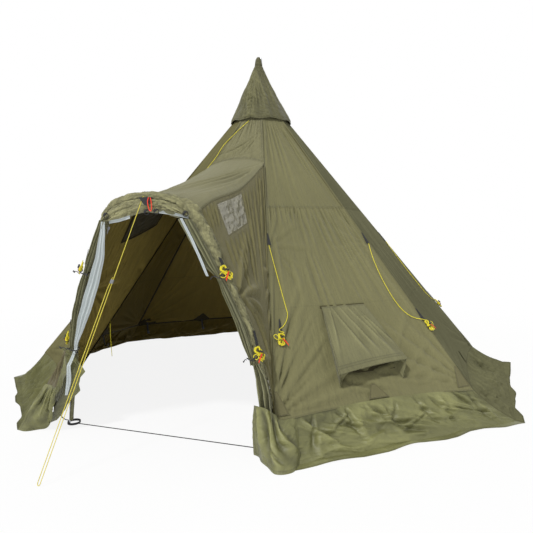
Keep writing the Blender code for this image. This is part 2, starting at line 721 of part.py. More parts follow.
def build_ground_strap(webbing):
    """Cord across the doorway between two webbing loops, each drawn against an arch pole's foot."""
    foot = arch_pole_route()[-1]
    y = foot.y + LOOP_RADIUS - LOOP_CORD - ARCH_POLE_RADIUS - GAP
    height = LOOP_CORD + GAP
    strap = bmesh_cylinder(STRAP_RADIUS, 2 * (foot.x - LOOP_RADIUS))
    body = place("ground_strap", strap, webbing, (0.0, y, height))
    body.rotation_euler = (0.0, math.pi / 2, 0.0)
    for side in (1, -1):
        bpy.ops.mesh.primitive_torus_add(major_radius=LOOP_RADIUS, minor_radius=LOOP_CORD,
                                         major_segments=24, minor_segments=6,
                                         location=(side * foot.x, y, height))
        loop = bpy.context.object
        loop.name = "loop_cutter_" + ("right" if side == 1 else "left")
        to_cutters(loop)
        join = body.modifiers.new("loop", "BOOLEAN")
        join.operation = "UNION"
        join.object = loop


def bmesh_cylinder(radius, length):
    rod = bmesh.new()
    bmesh.ops.create_cone(rod, cap_ends=True, segments=12, radius1=radius, radius2=radius, depth=length)
    data = bpy.data.meshes.new("rod")
    rod.to_mesh(data)
    rod.free()
    return data


def to_cutters(obj):
    for collection in list(obj.users_collection):
        collection.objects.unlink(obj)
    CUTTERS.objects.link(obj)
    obj.hide_render = True
    obj.display_type = "WIRE"


def vent_frame():
    """Hinge point of the vent hood on its wall, with the directions across and out."""
    turn = FACE_TURN
    hinge = wall_point(1, 0.0, VENT_TOP)
    hinge += wall_normal(1) * (FABRIC + HOOD_STANDOFF)
    return hinge, across(turn), heading(turn)


def hood_point(share, drop):
    """Middle of the hood cloth: share -1 to 1 across, drop 0 at its hinge and 1 at its lip."""
    hinge, side, out = vent_frame()
    fall = VENT_TOP - HOOD_LIP_HEIGHT
    reach = fall * FACE_SLOPE + HOOD_LIP_OUT
    half = HOOD_TOP_HALF + (HOOD_LIP_HALF - HOOD_TOP_HALF) * drop
    lift = HOOD_CROWN * math.sin(math.pi * drop) * (1 - share * share)
    normal = (out * fall + UP * reach).normalized()
    return hinge + side * (half * share) + out * (reach * drop) - UP * (fall * drop) + normal * lift


def build_vent(cloth, rod_finish):
    shares = (-1.0, -0.6, -0.2, 0.2, 0.6, 1.0)
    drops = (1.0, 0.8, 0.55, 0.3, 0.0)
    sheet("vent_hood", [[hood_point(share, drop) for share in shares] for drop in drops], cloth)
    hinge, side, out = vent_frame()
    fall = VENT_TOP - HOOD_LIP_HEIGHT
    reach = fall * FACE_SLOPE + HOOD_LIP_OUT
    normal = (out * fall + UP * reach).normalized()
    seat = FABRIC / 2 + VENT_ROD_RADIUS + GAP
    ends = [hood_point(share, 0.985) - normal * seat for share in (-0.94, 0.94)]
    tube("vent_rod", ends, VENT_ROD_RADIUS, rod_finish)
    for name, hand in (("left", -1), ("right", 1)):
        build_gusset(name, hand, normal, cloth)


def build_gusset(name, hand, normal, cloth):
    """Soft triangle that closes the side of the hood, from its edge down to the wall beside the hole."""
    foot_u, foot_z = GUSSET_FOOT
    lift = wall_normal(1) * (FABRIC / 2 + 4 * GAP)
    below = normal * (FABRIC / 2 + 5 * GAP)
    wall_row, hood_row = [], []
    for drop in (0.18, 0.45, 0.72, 0.97):
        z = VENT_TOP + (foot_z - VENT_TOP) * drop
        u = HOOD_TOP_HALF + (foot_u - HOOD_TOP_HALF) * drop
        half = wall_radius(z) * math.sin(HALF_CORNER)
        wall_row.append(wall_point(1, hand * u / half, z) + lift)
        hood_row.append(hood_point(hand * 0.985, drop) - below)
    rows = [wall_row, hood_row] if hand == 1 else [hood_row, wall_row]
    sheet("vent_gusset_" + name, rows, cloth, thickness=GUSSET_THICKNESS)


def hank_route(centre, long_way, wide_way, stack_way):
    """Loops that spiral in, climb a layer and spiral out again, drawn in at the waist."""
    route = []
    turns = int(HANK_LOOPS * HANK_POINTS)
    climb = HANK_POINTS // 2
    for i in range(2 * turns + climb + 1):
        turn = 2 * math.pi * i / HANK_POINTS
        inward = HANK_STEP * min(i, turns, 2 * turns + climb - i) / HANK_POINTS
        layer = HANK_LAYER * min(1.0, max(0.0, (i - turns) / climb))
        radius = HANK_WIDTH / 2 - inward
        long_side = (HANK_LENGTH - HANK_WIDTH) / 2
        if i % climb == climb // 2:
            along, wide = 0.0, math.copysign(radius - HANK_WAIST, math.sin(turn))
        else:
            along = radius * math.cos(turn) + math.copysign(long_side, math.cos(turn))
            wide = radius * math.sin(turn)
        route.append(centre + long_way * along + wide_way * wide + stack_way * layer)
    ends = [square_end(route[0], route[1]), square_end(route[-1], route[-2])]
    return [ends[0]] + route + [ends[1]]


def square_end(last, inner):
    """A straight end, one cord's thickness long."""
    return last + (last - inner).normalized() * (2 * CORD_RADIUS)


def self_gap(route):
    """Least distance between the tube's surfaces in stretches that lie side by side."""
    least = 1.0
    fine = [a.lerp(b, i / 6) for a, b in zip(route, route[1:]) for i in range(6)]
    for i, point in enumerate(fine):
        for other in fine[i + HANK_POINTS * 2:]:
            least = min(least, (point - other).length)
    return least - 2 * CORD_RADIUS


def beside_ridge(face, side, height, offset):
    """Middle of a wall's cloth at this distance from its left ridge (side 1) or its right one (side -1)."""
    half = wall_radius(height) * math.sin(HALF_CORNER)
    return strip_point(face, side * (offset / half - 1), height)


def build_hank(name, face, side, height, offset, finish):
    """A hank on a wall at this offset from its ridge, or on the ridge itself; returns its route and way up."""
    top = beside_ridge(face, side, height + 0.04, offset)
    low = beside_ridge(face, side, height - 0.04, offset)
    far = beside_ridge(face, side, height, offset + 0.04)
    if not offset:
        far = top.lerp(low, 0.5) + across((face - side / 2) * FACE_TURN) * (0.04 * side)
    long_way = (top - low).normalized()
    wide_way = (far - top.lerp(low, 0.5)).normalized() * side
    out = wide_way.cross(long_way).normalized()
    wide_way = long_way.cross(out).normalized()
    base = top.lerp(low, 0.5) + out * (FABRIC / 2 + CORD_RADIUS + GAP)
    hank = hank_route(base, long_way, wide_way * -side, out)
    tube("hank_" + name, hank, CORD_RADIUS, finish, detail=1)
    return hank, long_way


def build_ridge_line(name, face, side, offset, finish):
    """A slack guyline from the tie on a ridge, over the wall beside it, to its hank by the same ridge."""
    hank, long_way = build_hank(name, face, side, HANK_HEIGHT, offset, finish)
    lift = wall_normal(face) * (FABRIC / 2 + CORD_RADIUS + CORD_LIFT)
    knots = [beside_ridge(face, side, height, offset) + lift for height, offset in SLACK_ROUTE]
    back = (hank[0] - hank[1]).normalized()
    knots.append(hank[0] + back * 0.025 + long_way * 0.003)
    route = smooth_route(knots + [hank[0] + back * 0.009], 21)
    tube("guyline_" + name, route + [hank[0] + back * GAP], CORD_RADIUS, finish)
    return hank


def build_guylines(finish):
    lines = {"right_front": (1, 1, HANK_OFFSET), "right": (1, -1, 0.0), "right_rear": (2, -1, 0.0)}
    for name, (face, side, offset) in lines.items():
        hank = build_ridge_line(name, face, side, offset, finish)
        build_hank(name.replace("right", "left"), -face, -side, STOWED_HANK_HEIGHT, HANK_OFFSET, finish)
    print("least gap of a hank to itself: %.2f mm" % (self_gap(hank) * 1000))


def build_porch_hanks(finish):
    for side_name, side in (("right", 1), ("left", -1)):
        for level, height in PORCH_HANK_HEIGHTS.items():
            build_porch_hank(side_name, side, level, height, finish)


def build_porch_hank(side_name, side, level, height, finish):
    """A hank tied to the outer front of an arch leg."""
    leg = arch_point(arch_leg_x(height), height, side)
    down = (arch_point(arch_leg_x(height - 0.05), height - 0.05, side) - leg).normalized()
    out = Vector((side * PORCH_HANK_FACING[0], PORCH_HANK_FACING[1], 0.0))
    out = (out - down * out.dot(down)).normalized()
    base = leg + out * (SLEEVE_RADIUS + FABRIC / 2 + CORD_RADIUS + PORCH_HANK_STANDOFF[level])
    route = hank_route(base, down * -1, down.cross(out), out)
    tube("porch_hank_" + side_name + "_" + level, route, CORD_RADIUS, finish, detail=1)


def front_line():
    """Start of the front guyline at the arch crown, its way down and its level side direction."""
    crown = arch_point(0.0, ARCH_ROUTE[0][1])
    start = crown + Vector((0.0, -1.0, 0.0)) * (SLEEVE_RADIUS + FABRIC / 2 - 2 * GAP)
    bend = start + Vector((0.0, -0.008, -0.002))
    foot = Vector((FRONT_PEG[0], FRONT_PEG[1], STRAND_SPACING))
    way = (foot - bend).normalized()
    side = way.cross(UP).normalized()
    return start, bend, foot, way, side


def build_front_guyline(finish, plastic):
    start, bend, foot, way, side = front_line()
    route = [start, bend]
    route += [bend.lerp(foot, share) for share in (0.25, 0.5, 0.75)]
    turn_radius = STRAND_SPACING / 2
    for i in range(7):
        turn = math.pi * i / 6
        route.append(foot + way * (turn_radius * math.sin(turn)) + side * (turn_radius * (1 - math.cos(turn))))
    straight = 2 * CORD_RADIUS
    route.append(foot + side * STRAND_SPACING - way * straight)
    tube("front_guyline", route, CORD_RADIUS, finish)
    seat = bend.lerp(foot, LINE_SLIDER_SHARE)
    top = seat - way * (LINE_SLIDER_SIZE[2] / 2 + LINE_TAIL)
    back = [(foot - way * (straight + GAP)).lerp(top, share) + side * STRAND_SPACING for share in (0.0, 0.33, 0.66, 1.0)]
    tube("front_guyline_return", back, CORD_RADIUS, finish)
    width, depth, length = LINE_SLIDER_SIZE
    bore = (CORD_RADIUS + SLIDE_CLEARANCE) / math.cos(math.pi / 12)
    half = STRAND_SPACING / 2
    end = depth / 2
    outline = [(half + (width / 2 - half) * math.cos(t), end * math.sin(t))
               for t in [-math.pi / 2 + math.pi * i / 6 for i in range(7)]]
    outline += [(-x, -y) for x, y in outline]
    slider = plate("line_slider", [outline, circle(bore, 12, (-half, 0.0)), circle(bore, 12, (half, 0.0))],
                   length, plastic)
    middle = seat + side * half
    orient(slider, middle, side, way.cross(side), way)


def build_cap_cord(finish):
    """Cord from the cap's hem over the left front ridge to the tie on the next ridge."""
    lift = FABRIC / 2 + CORD_RADIUS + CORD_LIFT
    knots = []
    for u, drop in CAP_CORD_FRONT:
        half = wall_radius(WALL_TOP - drop) * math.sin(HALF_CORNER)
        knots.append(strip_point(0, u / half, WALL_TOP - drop) + wall_normal(0) * lift)
    out = (heading(-HALF_CORNER) + UP * SLOPE).normalized()
    knots.append(ridge(-HALF_CORNER, WALL_TOP - CAP_CORD_RIDGE) + out * (lift + 0.001))
    for share, drop in CAP_CORD_SIDE:
        knots.append(strip_point(-1, share, WALL_TOP - drop) + wall_normal(-1) * lift)
    tube("cap_cord", smooth_route(knots, 24), CORD_RADIUS, finish)


def build_inner_cord(finish):
    """Short cord that hangs inside from the left front ridge."""
    out = (heading(-HALF_CORNER) + UP * SLOPE).normalized()
    top = ridge(-HALF_CORNER, 0.73) - out * (FABRIC / 2 + CORD_RADIUS)
    route = [top, top - UP * 0.09, top + Vector((0.004, 0.0, -0.18)), top + Vector((0.010, 0.0, -0.27))]
    tube("inner_cord", smooth_route(route, 8), CORD_RADIUS, finish)


def build_tent():
    canopy = material("canopy_cloth", (0.17, 0.155, 0.075), 0.75)
    light = material("porch_cloth", (0.21, 0.20, 0.105), 0.75)
    skirt = material("skirt_cloth", (0.26, 0.28, 0.12), 0.6)
    clear = material("window_film", (0.55, 0.56, 0.50), 0.2)
    metal = material("aluminium_tube", (0.75, 0.76, 0.78), 0.35, 1.0)
    plastic = material("black_plastic", (0.02, 0.02, 0.02), 0.5)
    grey = material("grey_plastic", (0.35, 0.36, 0.38), 0.5)
    rubber = material("foot_rubber", (0.03, 0.03, 0.03), 0.85)
    tape = material("zip_tape", (0.50, 0.54, 0.55), 0.6)
    webbing = material("black_webbing", (0.015, 0.015, 0.015), 0.8)
    yellow = material("yellow_cord", (0.85, 0.72, 0.03), 0.6)
    build_pole(metal, plastic, rubber)
    build_crown(plastic)
    build_cap(canopy)
    build_walls(canopy)
    build_front_gore(canopy)
    build_skirts(skirt)
    build_roof(light)
    build_sides(canopy, tape, clear)
    build_arch(metal, light)
    build_door_roll(light)
    for side_name, side in (("right", 1), ("left", -1)):
        build_curtain(side_name, side, light)
        build_zip(side_name, side, tape, grey)
    build_ground_strap(webbing)
    build_vent(light, metal)
    build_guylines(yellow)
    build_porch_hanks(yellow)
    build_front_guyline(yellow, grey)
    build_cap_cord(yellow)
    build_inner_cord(yellow)


clear_scene()
PARTS = bpy.data.collections.new("tent")
CUTTERS = bpy.data.collections.new("tent_cutters")
bpy.context.scene.collection.children.link(PARTS)
bpy.context.scene.collection.children.link(CUTTERS)
build_tent()
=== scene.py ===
"""Eight-sided pole tent with an arched porch, dressed: cloth, seams, cords and trim. Metres, +Z up."""

import math

import bpy
import numpy as np
from mathutils import Matrix, Vector


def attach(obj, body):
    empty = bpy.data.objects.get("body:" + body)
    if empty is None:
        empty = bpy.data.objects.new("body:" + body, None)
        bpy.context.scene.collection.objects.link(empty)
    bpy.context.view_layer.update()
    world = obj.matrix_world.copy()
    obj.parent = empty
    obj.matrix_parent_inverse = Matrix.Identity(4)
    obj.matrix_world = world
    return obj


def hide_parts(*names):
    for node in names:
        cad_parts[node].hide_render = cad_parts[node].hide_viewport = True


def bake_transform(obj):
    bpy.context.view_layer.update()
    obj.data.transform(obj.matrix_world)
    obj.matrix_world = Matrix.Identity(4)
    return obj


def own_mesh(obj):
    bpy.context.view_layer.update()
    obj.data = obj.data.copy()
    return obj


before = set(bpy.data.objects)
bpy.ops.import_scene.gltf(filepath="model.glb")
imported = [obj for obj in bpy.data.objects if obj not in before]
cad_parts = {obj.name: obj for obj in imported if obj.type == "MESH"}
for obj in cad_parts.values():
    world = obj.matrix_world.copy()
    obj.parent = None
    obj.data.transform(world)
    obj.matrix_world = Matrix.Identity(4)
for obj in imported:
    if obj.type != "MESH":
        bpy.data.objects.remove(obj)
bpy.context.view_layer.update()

# Sizes shared with the solids
HEM_RADIUS = 2.093
HEM_HEIGHT = 0.235
HEM_RISE = 0.02
APEX_HEIGHT = 2.73
WALL_TOP = 2.51
WALL_SAG = 0.03
WALL_SEAM_HEIGHT = 1.59
LOWER_SEAM_HEIGHT = 0.855
FABRIC = 0.003
GAP = 0.0003
SKIRT_FLAP = 0.06
SKIRT_REACH = (2.09, 2.12, 2.29, 2.24, 2.20, 2.20, 2.20, 2.21)
LEFT_SKIRT_END = 0.66
CAP_PROFILE = ((0.010, 3.028), (0.017, 3.005), (0.024, 2.950), (0.066, 2.820),
               (0.138, 2.680), (0.218, 2.540), (0.294, 2.405))
ARCH_ROUTE = ((0.0, 1.612), (0.14, 1.597), (0.225, 1.568), (0.290, 1.518), (0.332, 1.440),
              (0.425, 1.262), (0.520, 1.080), (0.612, 0.855), (0.686, 0.590), (0.738, 0.300),
              (0.800, 0.001))
ARCH_FOOT_Y = -1.82
ARCH_LEAN = 0.135
SLEEVE_RADIUS = 0.028
SLEEVE_BOTTOM = 0.27
ROOF_REAR_EDGE = 1.97
ROOF_REAR_CROWN = 0.05
ROOF_FRONT_X = 0.300
ROOF_HOLLOW = 1.5
SIDE_TURN_DEPTH = 0.4
WINDOW_DEPTH = (0.03, 0.18)
WINDOW_REACH = (0.42, 0.775)
ROLL_RADIUS = 0.030
ROLL_HALF_WIDTH = 0.235
CURTAIN_RADIUS = 0.026
CURTAIN_TIE_RADIUS = 0.016
CURTAIN_INWARD = 0.3
CURTAIN_NESTING = 0.0038
CURTAIN_TOP = 1.45
CURTAIN_TIES = (1.12, 0.62)
CURTAIN_FLARE = 0.10
VENT_TOP = 0.842
VENT_SILL = 0.362
VENT_HOLE_SHARE = 0.30
HOOD_TOP_HALF = 0.185
HOOD_LIP_HALF = 0.288
HOOD_LIP_HEIGHT = 0.500
HOOD_LIP_OUT = 0.112
HOOD_CROWN = 0.018
HOOD_STANDOFF = 0.0018
HOOD_FALL = VENT_TOP - HOOD_LIP_HEIGHT
GUSSET_FOOT = (0.258, 0.358)
CORD_RADIUS = 0.00225
CORD_LIFT = 0.0008
HANK_LENGTH = 0.096
HANK_WIDTH = 0.056
HANK_WAIST = 0.011
HANK_LOOPS = 2
HANK_STEP = 0.0056
HANK_LAYER = 0.0054
HANK_POINTS = 12
SLIPPED_BIGHT = ((-0.012, 0.034), (-0.006, 0.052), (0.010, 0.060), (0.024, 0.050), (0.020, 0.034),
                 (0.002, 0.026), (-0.030, 0.030), (-0.050, 0.022))
SLACK_ROUTE = ((1.285, 0.012), (1.22, 0.045), (1.12, 0.085), (1.00, 0.118), (0.87, 0.136),
               (0.79, 0.128), (0.745, 0.100), (0.722, 0.060))
KINKED_ROUTE = ((1.285, 0.012), (1.20, 0.034), (1.08, 0.066), (0.96, 0.098), (0.86, 0.125), (0.815, 0.136),
                (0.780, 0.126), (0.745, 0.098), (0.722, 0.060))
FRONT_PEG = (-0.302, -2.684)
STRAND_SPACING = 0.018

HALF_CORNER = math.pi / 8
FACE_TURN = math.pi / 4
SLOPE = HEM_RADIUS / (APEX_HEIGHT - HEM_HEIGHT)
FACE_SLOPE = SLOPE * math.cos(HALF_CORNER)
HOOD_REACH = HOOD_FALL * FACE_SLOPE + HOOD_LIP_OUT
FACES = {"right_front": 1, "right": 2, "right_rear": 3, "rear": 4, "left_rear": 5,
         "left": 6, "left_front": 7}
UP = np.array((0.0, 0.0, 1.0))

# Cloth colours, as sRGB
OLIVE = (118, 115, 79)
# Greyer, shaded copy of the olive for the right wall: painted shade
RIGHT_WALL_PAINTED_SHADE_OLIVE = (112, 111, 85)
# Darker copy of the olive for the left front wall: painted shade
LEFT_WALL_PAINTED_SHADE_OLIVE = (107, 103, 70)
ROOF_OLIVE = (124, 121, 88)
CAP_OLIVE = (103, 101, 70)
SLEEVE_OLIVE = (149, 146, 107)
SKIRT_GREEN = (116, 116, 73)
# Darker copy of the skirt green for the left front skirt: painted shade
LEFT_SKIRT_PAINTED_SHADE_GREEN = (98, 98, 63)
# Greyer copy of the skirt green for the right and right rear skirts: painted shade
RIGHT_SKIRTS_PAINTED_SHADE_GREEN = (110, 109, 80)
CURTAIN_GREEN = (121, 120, 88)
# Inner faces: a warmer, yellower olive that paints the light coming through the cloth
INNER_PAINTED_LIGHT_OLIVE = (124, 110, 56)
# Lighter copy of the inner olive for the right and rear walls' inner faces: painted light inside the tent
INNER_REAR_PAINTED_LIGHT_OLIVE = (168, 150, 84)
FRONT_OLIVE = (123, 120, 87)
SIDE_OLIVE = (112, 107, 70)
HOOD_OLIVE = (122, 120, 86)
FLARE_OLIVE = (98, 91, 64)
PATCH_OLIVE = (110, 106, 73)
# Dark olive of the vent lining: painted shade from the hood
SHADED_OLIVE = (74, 69, 42)
SEAM_TAPE_BROWN = (50, 44, 25)
WINDOW_BACK_BROWN = (58, 53, 32)
FILM_GREY = (150, 147, 126)

# Colours of cord, tape and hard parts, as sRGB
CORD_YELLOW = (255, 240, 44)
TAUT_CORD_YELLOW = (238, 222, 74)
TAPE_RED = (238, 62, 34)
WEBBING_BLACK = (34, 35, 36)
MOULDED_BLACK = (30, 30, 31)
MOULDED_GREY = (112, 114, 118)
ALUMINIUM = (196, 198, 202)
RUBBER_BLACK = (38, 38, 38)
ZIP_GREY = (188, 196, 196)

# Camera, as fitted to the photograph: metres, radians, and pixels of its 533-pixel frame
FRAME_HALF = 266.5
FOCAL_LENGTH = 559.41
EYE_PLACE = (1.893, -5.064, 1.405)
EYE_TURN = 0.3491460647
EYE_PITCH = -0.0658519322
EYE_ROLL = -0.00474338634

# Studio light: a clear sky, a broad sun and a disc in front of the door
SKY_STRENGTH = 0.44
SUN_STRENGTH = 2.05
SUN_SPREAD = math.radians(5)
SUN_WAY = (0.12, 0.60, -0.79)
FILL_POWER = 30.0
FILL_SIZE = 2.4
FILL_PLACE = (0.9, -6.4, 1.3)
FILL_WAY = (-0.9, 5.6, -0.6)
FLOOR_HALF = 40
FLOOR_DROP = 0.0005
# The floor shows its own shading near the object, and turns white between these distances
FLOOR_FADE = (3.4, 6.0)
FLOOR_GLOW = 0.88


def linear(colour):
    return tuple((c / 255 / 12.92) if c <= 10 else ((c / 255 + 0.055) / 1.055) ** 2.4 for c in colour)


def heading(turn):
    return np.array((math.sin(turn), -math.cos(turn), 0.0))


def across(turn):
    return np.array((math.cos(turn), math.sin(turn), 0.0))


def stretch(values, low, high):
    """Rises smoothly from 0 at low to 1 at high."""
    t = np.clip((values - low) / (high - low), 0.0, 1.0)
    return t * t * (3 - 2 * t)


def noise(x, y, seed):
    """Smooth random field from -1 to 1 over the plane, one cell per unit."""
    table = np.random.default_rng(seed).uniform(-1, 1, (64, 64))
    x, y = np.broadcast_arrays(np.asarray(x, float), np.asarray(y, float))
    column, row = np.floor(x).astype(int), np.floor(y).astype(int)
    fx, fy = x - column, y - row
    fx, fy = fx * fx * (3 - 2 * fx), fy * fy * (3 - 2 * fy)
    a, b = table[column % 64, row % 64], table[(column + 1) % 64, row % 64]
    c, d = table[column % 64, (row + 1) % 64], table[(column + 1) % 64, (row + 1) % 64]
    return (a * (1 - fx) + b * fx) * (1 - fy) + (c * (1 - fx) + d * fx) * fy


def creases(x, y, seed):
    """Crumpled cloth from -1 to 1: sharp crests between round hollows, in two sizes."""
    coarse = 1 - 2 * np.abs(noise(x, y, seed)) ** 0.8
    fine = 1 - 2 * np.abs(noise(x * 2.3 + 5, y * 2.3 + 9, seed + 1)) ** 0.8
    return 0.7 * coarse + 0.3 * fine


def folds(u, v, marks):
    """Soft ridges drawn on the cloth, each from (u0, v0) to (u1, v1), its width growing between two values."""
    total = np.zeros(np.broadcast(u, v).shape)
    for u0, v0, u1, v1, thin, wide, high in marks:
        du, dv = u1 - u0, v1 - v0
        long = math.hypot(du, dv)
        t = ((u - u0) * du + (v - v0) * dv) / long ** 2
        d = ((u - u0) * dv - (v - v0) * du) / long
        w = thin + (wide - thin) * np.clip(t, 0, 1)
        window = stretch(t, -0.02, 0.12) * (1 - stretch(t, 0.45, 1.0))
        total += high * window * (np.exp(-(d / w) ** 2) - 0.55 * np.exp(-((d - 1.8 * w) / w) ** 2))
    return total


def lengths_along(points, axis):
    """Distance run along each row or column of a grid."""
    step = np.linalg.norm(np.diff(points, axis=axis), axis=2)
    pad = [(0, 0), (0, 0)]
    pad[axis] = (1, 0)
    return np.cumsum(np.pad(step, pad), axis=axis)


def grid_normals(points):
    along = np.gradient(points, axis=1)
    up = np.gradient(points, axis=0)
    normal = np.cross(along, up)
    size = np.linalg.norm(normal, axis=2, keepdims=True)
    return normal / np.maximum(size, 1e-9)


def push(points, height):
    """Moves each point of a grid out along the cloth's own outward side."""
    return points + grid_normals(points) * np.asarray(height)[..., None]


def mesh_piece(name, verts, faces, finish, body="canopy", uv=None, marks=None):
    data = bpy.data.meshes.new(name)
    data.from_pydata([tuple(v) for v in verts], [], [tuple(f) for f in faces])
    if uv is not None:
        layer = data.uv_layers.new(name="cloth")
        order = np.empty(len(data.loops), np.int32)
        data.loops.foreach_get("vertex_index", order)
        layer.data.foreach_set("uv", np.asarray(uv, np.float32)[order].ravel())
    for key, values in (marks or {}).items():
        attribute = data.attributes.new(key, "FLOAT", "POINT")
        attribute.data.foreach_set("value", np.asarray(values, np.float32).ravel())
    data.shade_smooth()
    obj = bpy.data.objects.new(name, data)
    bpy.context.scene.collection.objects.link(obj)
    data.materials.append(finish)
    if body:
        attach(obj, body)
    return obj


def sharpen_rim(obj):
    """Keeps the flat of a cloth evenly lit up to its cut edge."""
    data = obj.data
    count = np.zeros(len(data.edges), int)
    for polygon in data.polygons:
        for key in polygon.loop_indices:
            count[data.loops[key].edge_index] += 1
    sharp = data.attributes.new("sharp_edge", "BOOLEAN", "EDGE")
    sharp.data.foreach_set("value", (count == 1).astype(bool))


def thicken(obj, thickness):
    """Gives the cloth half its thickness on each side."""
    shell = obj.modifiers.new("thickness", "SOLIDIFY")
    shell.thickness = thickness
    shell.offset = 0.0


def cloth(name, points, finish, nodes=(), body="canopy", holes=None, seam=None,
          edge=None, thickness=0.0016, closed=False, centred=True, lane=None, high=None, inner=None):
    """A sheet over a grid of points: rows run up, each row to the right seen from outside.

    lane follows the pleats, high is how far the cloth stands out of its own mean, from -1 to 1; the cloth finishes
    paint shade into its low places and highlight onto its high ones.
    """
    rows, columns = points.shape[:2]
    u = lengths_along(points, 1)
    if centred:
        u = u - u[:, -1:] / 2
    v = lengths_along(points, 0)
    index = np.arange(rows * columns).reshape(rows, columns)
    if closed:
        index[:, -1] = index[:, 0]
    faces = np.stack([index[:-1, :-1], index[:-1, 1:], index[1:, 1:], index[1:, :-1]], axis=-1)
    keep = np.ones(faces.shape[:2], bool) if holes is None else ~holes
    faces = faces[keep]
    used = np.unique(faces)
    renumber = np.full(rows * columns, -1)
    renumber[used] = np.arange(len(used))
    given = {"edge": 1.0 if edge is None else edge, "seam": 1.0 if seam is None else seam,
             "lane": u if lane is None else lane, "high": 0.0 if high is None else np.clip(high, -1, 1)}
    marks = {key: np.broadcast_to(value, (rows, columns)).ravel()[used] for key, value in given.items()}
    uv = np.stack([u, v], axis=-1).reshape(-1, 2)[used]
    obj = mesh_piece(name, points.reshape(-1, 3)[used], renumber[faces], finish, body, uv, marks)
    sharpen_rim(obj)
    thicken(obj, thickness)
    if inner:
        obj.data.materials.append(inner)
        obj.modifiers["thickness"].material_offset = 1
    if nodes:
        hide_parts(*nodes)
    return obj


# Routes, strips, tubes and patches, for all sections


def unit(vector):
    return vector / np.linalg.norm(vector)


def smooth_route(knots, count):
    """Points evenly spaced along a smooth curve through the knots."""
    knots = [np.asarray(knot, float) for knot in knots]
    ends = [knots[0] * 2 - knots[1]] + knots + [knots[-1] * 2 - knots[-2]]
    fine = []
    for a, b, c, d in zip(ends, ends[1:], ends[2:], ends[3:]):
        for i in range(16):
            t = i / 16
            fine.append(0.5 * (2 * b + (c - a) * t + (2 * a - 5 * b + 4 * c - d) * t * t
                               + (3 * b - a - 3 * c + d) * t ** 3))
    fine.append(knots[-1])
    fine = np.array(fine)
    run = np.concatenate([[0], np.cumsum(np.linalg.norm(np.diff(fine, axis=0), axis=1))])
    want = np.linspace(0, run[-1], count)
    return np.stack([np.interp(want, run, fine[:, k]) for k in range(3)], axis=-1)


def strip(name, line, wide, finish, thickness=0.0016):
    """A flat strip along a line; wide is its half width as a vector, one for all or one for each point."""
    line = np.asarray(line)
    wide = np.broadcast_to(wide, line.shape)
    shares = np.linspace(-1, 1, 5)
    points = line[:, None] + wide[:, None] * shares[None, :, None]
    return cloth(name, points, finish, thickness=thickness), points


def tape(name, line, wide, finish, thickness=0.0016):
    """A strip along a line; only the piece is given back."""
    obj, points = strip(name, line, wide, finish, thickness=thickness)
    return obj


def tube_mesh(name, line, radius, finish, sides=10):
    line = np.asarray(line, float)
    along = np.gradient(line, axis=0)
    along /= np.linalg.norm(along, axis=1, keepdims=True)
    seed = np.array((0.3, 0.5, 0.81))
    first = np.cross(along, seed)
    first /= np.linalg.norm(first, axis=1, keepdims=True)
    second = np.cross(along, first)
    turns = np.linspace(0, 2 * math.pi, sides, endpoint=False)
    rings = line[:, None] + radius * (first[:, None] * np.cos(turns)[None, :, None]
                                      + second[:, None] * np.sin(turns)[None, :, None])
    index = np.arange(len(line) * sides).reshape(len(line), sides)
    nxt = np.roll(index, -1, axis=1)
    faces = np.stack([index[:-1], nxt[:-1], nxt[1:], index[1:]], axis=-1).reshape(-1, 4).tolist()
    faces.append(list(range(sides))[::-1])
    faces.append(list(index[-1]))
    return mesh_piece(name, rings.reshape(-1, 3), faces, finish)


def curve(name, route, radius, finish, nodes=()):
    """A smooth round cord along a route."""
    data = bpy.data.curves.new(name, "CURVE")
    data.dimensions = "3D"
    data.bevel_depth = radius
    data.bevel_resolution = 3
    data.use_fill_caps = True
    line = data.splines.new("POLY")
    line.points.add(len(route) - 1)
    for i, point in enumerate(route):
        line.points[i].co = (*point, 1.0)
    line.use_smooth = True
    obj = bpy.data.objects.new(name, data)
    bpy.context.scene.collection.objects.link(obj)
    data.materials.append(finish)
    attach(obj, "canopy")
    if nodes:
        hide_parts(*nodes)
    return obj


def patch(name, corners, finish, columns=10, thickness=0.0016):
    """A small sewn piece; its corners are lower left, lower right, upper left and upper right."""
    a, b, c, d = (np.asarray(corner, float) for corner in corners)
    s, t = np.meshgrid(np.linspace(0, 1, columns), np.linspace(0, 1, columns))
    s, t = s[..., None], t[..., None]
    points = (a * (1 - s) + b * s) * (1 - t) + (c * (1 - s) + d * s) * t
    size = float(np.linalg.norm(a - b) + np.linalg.norm(c - d)) / 2
    long = float(np.linalg.norm(a + b - c - d)) / 2
    edge = np.minimum(np.minimum(s, 1 - s)[..., 0] * size, np.minimum(t, 1 - t)[..., 0] * long)
    obj = cloth(name, points, finish, edge=edge, thickness=thickness)


# Materials


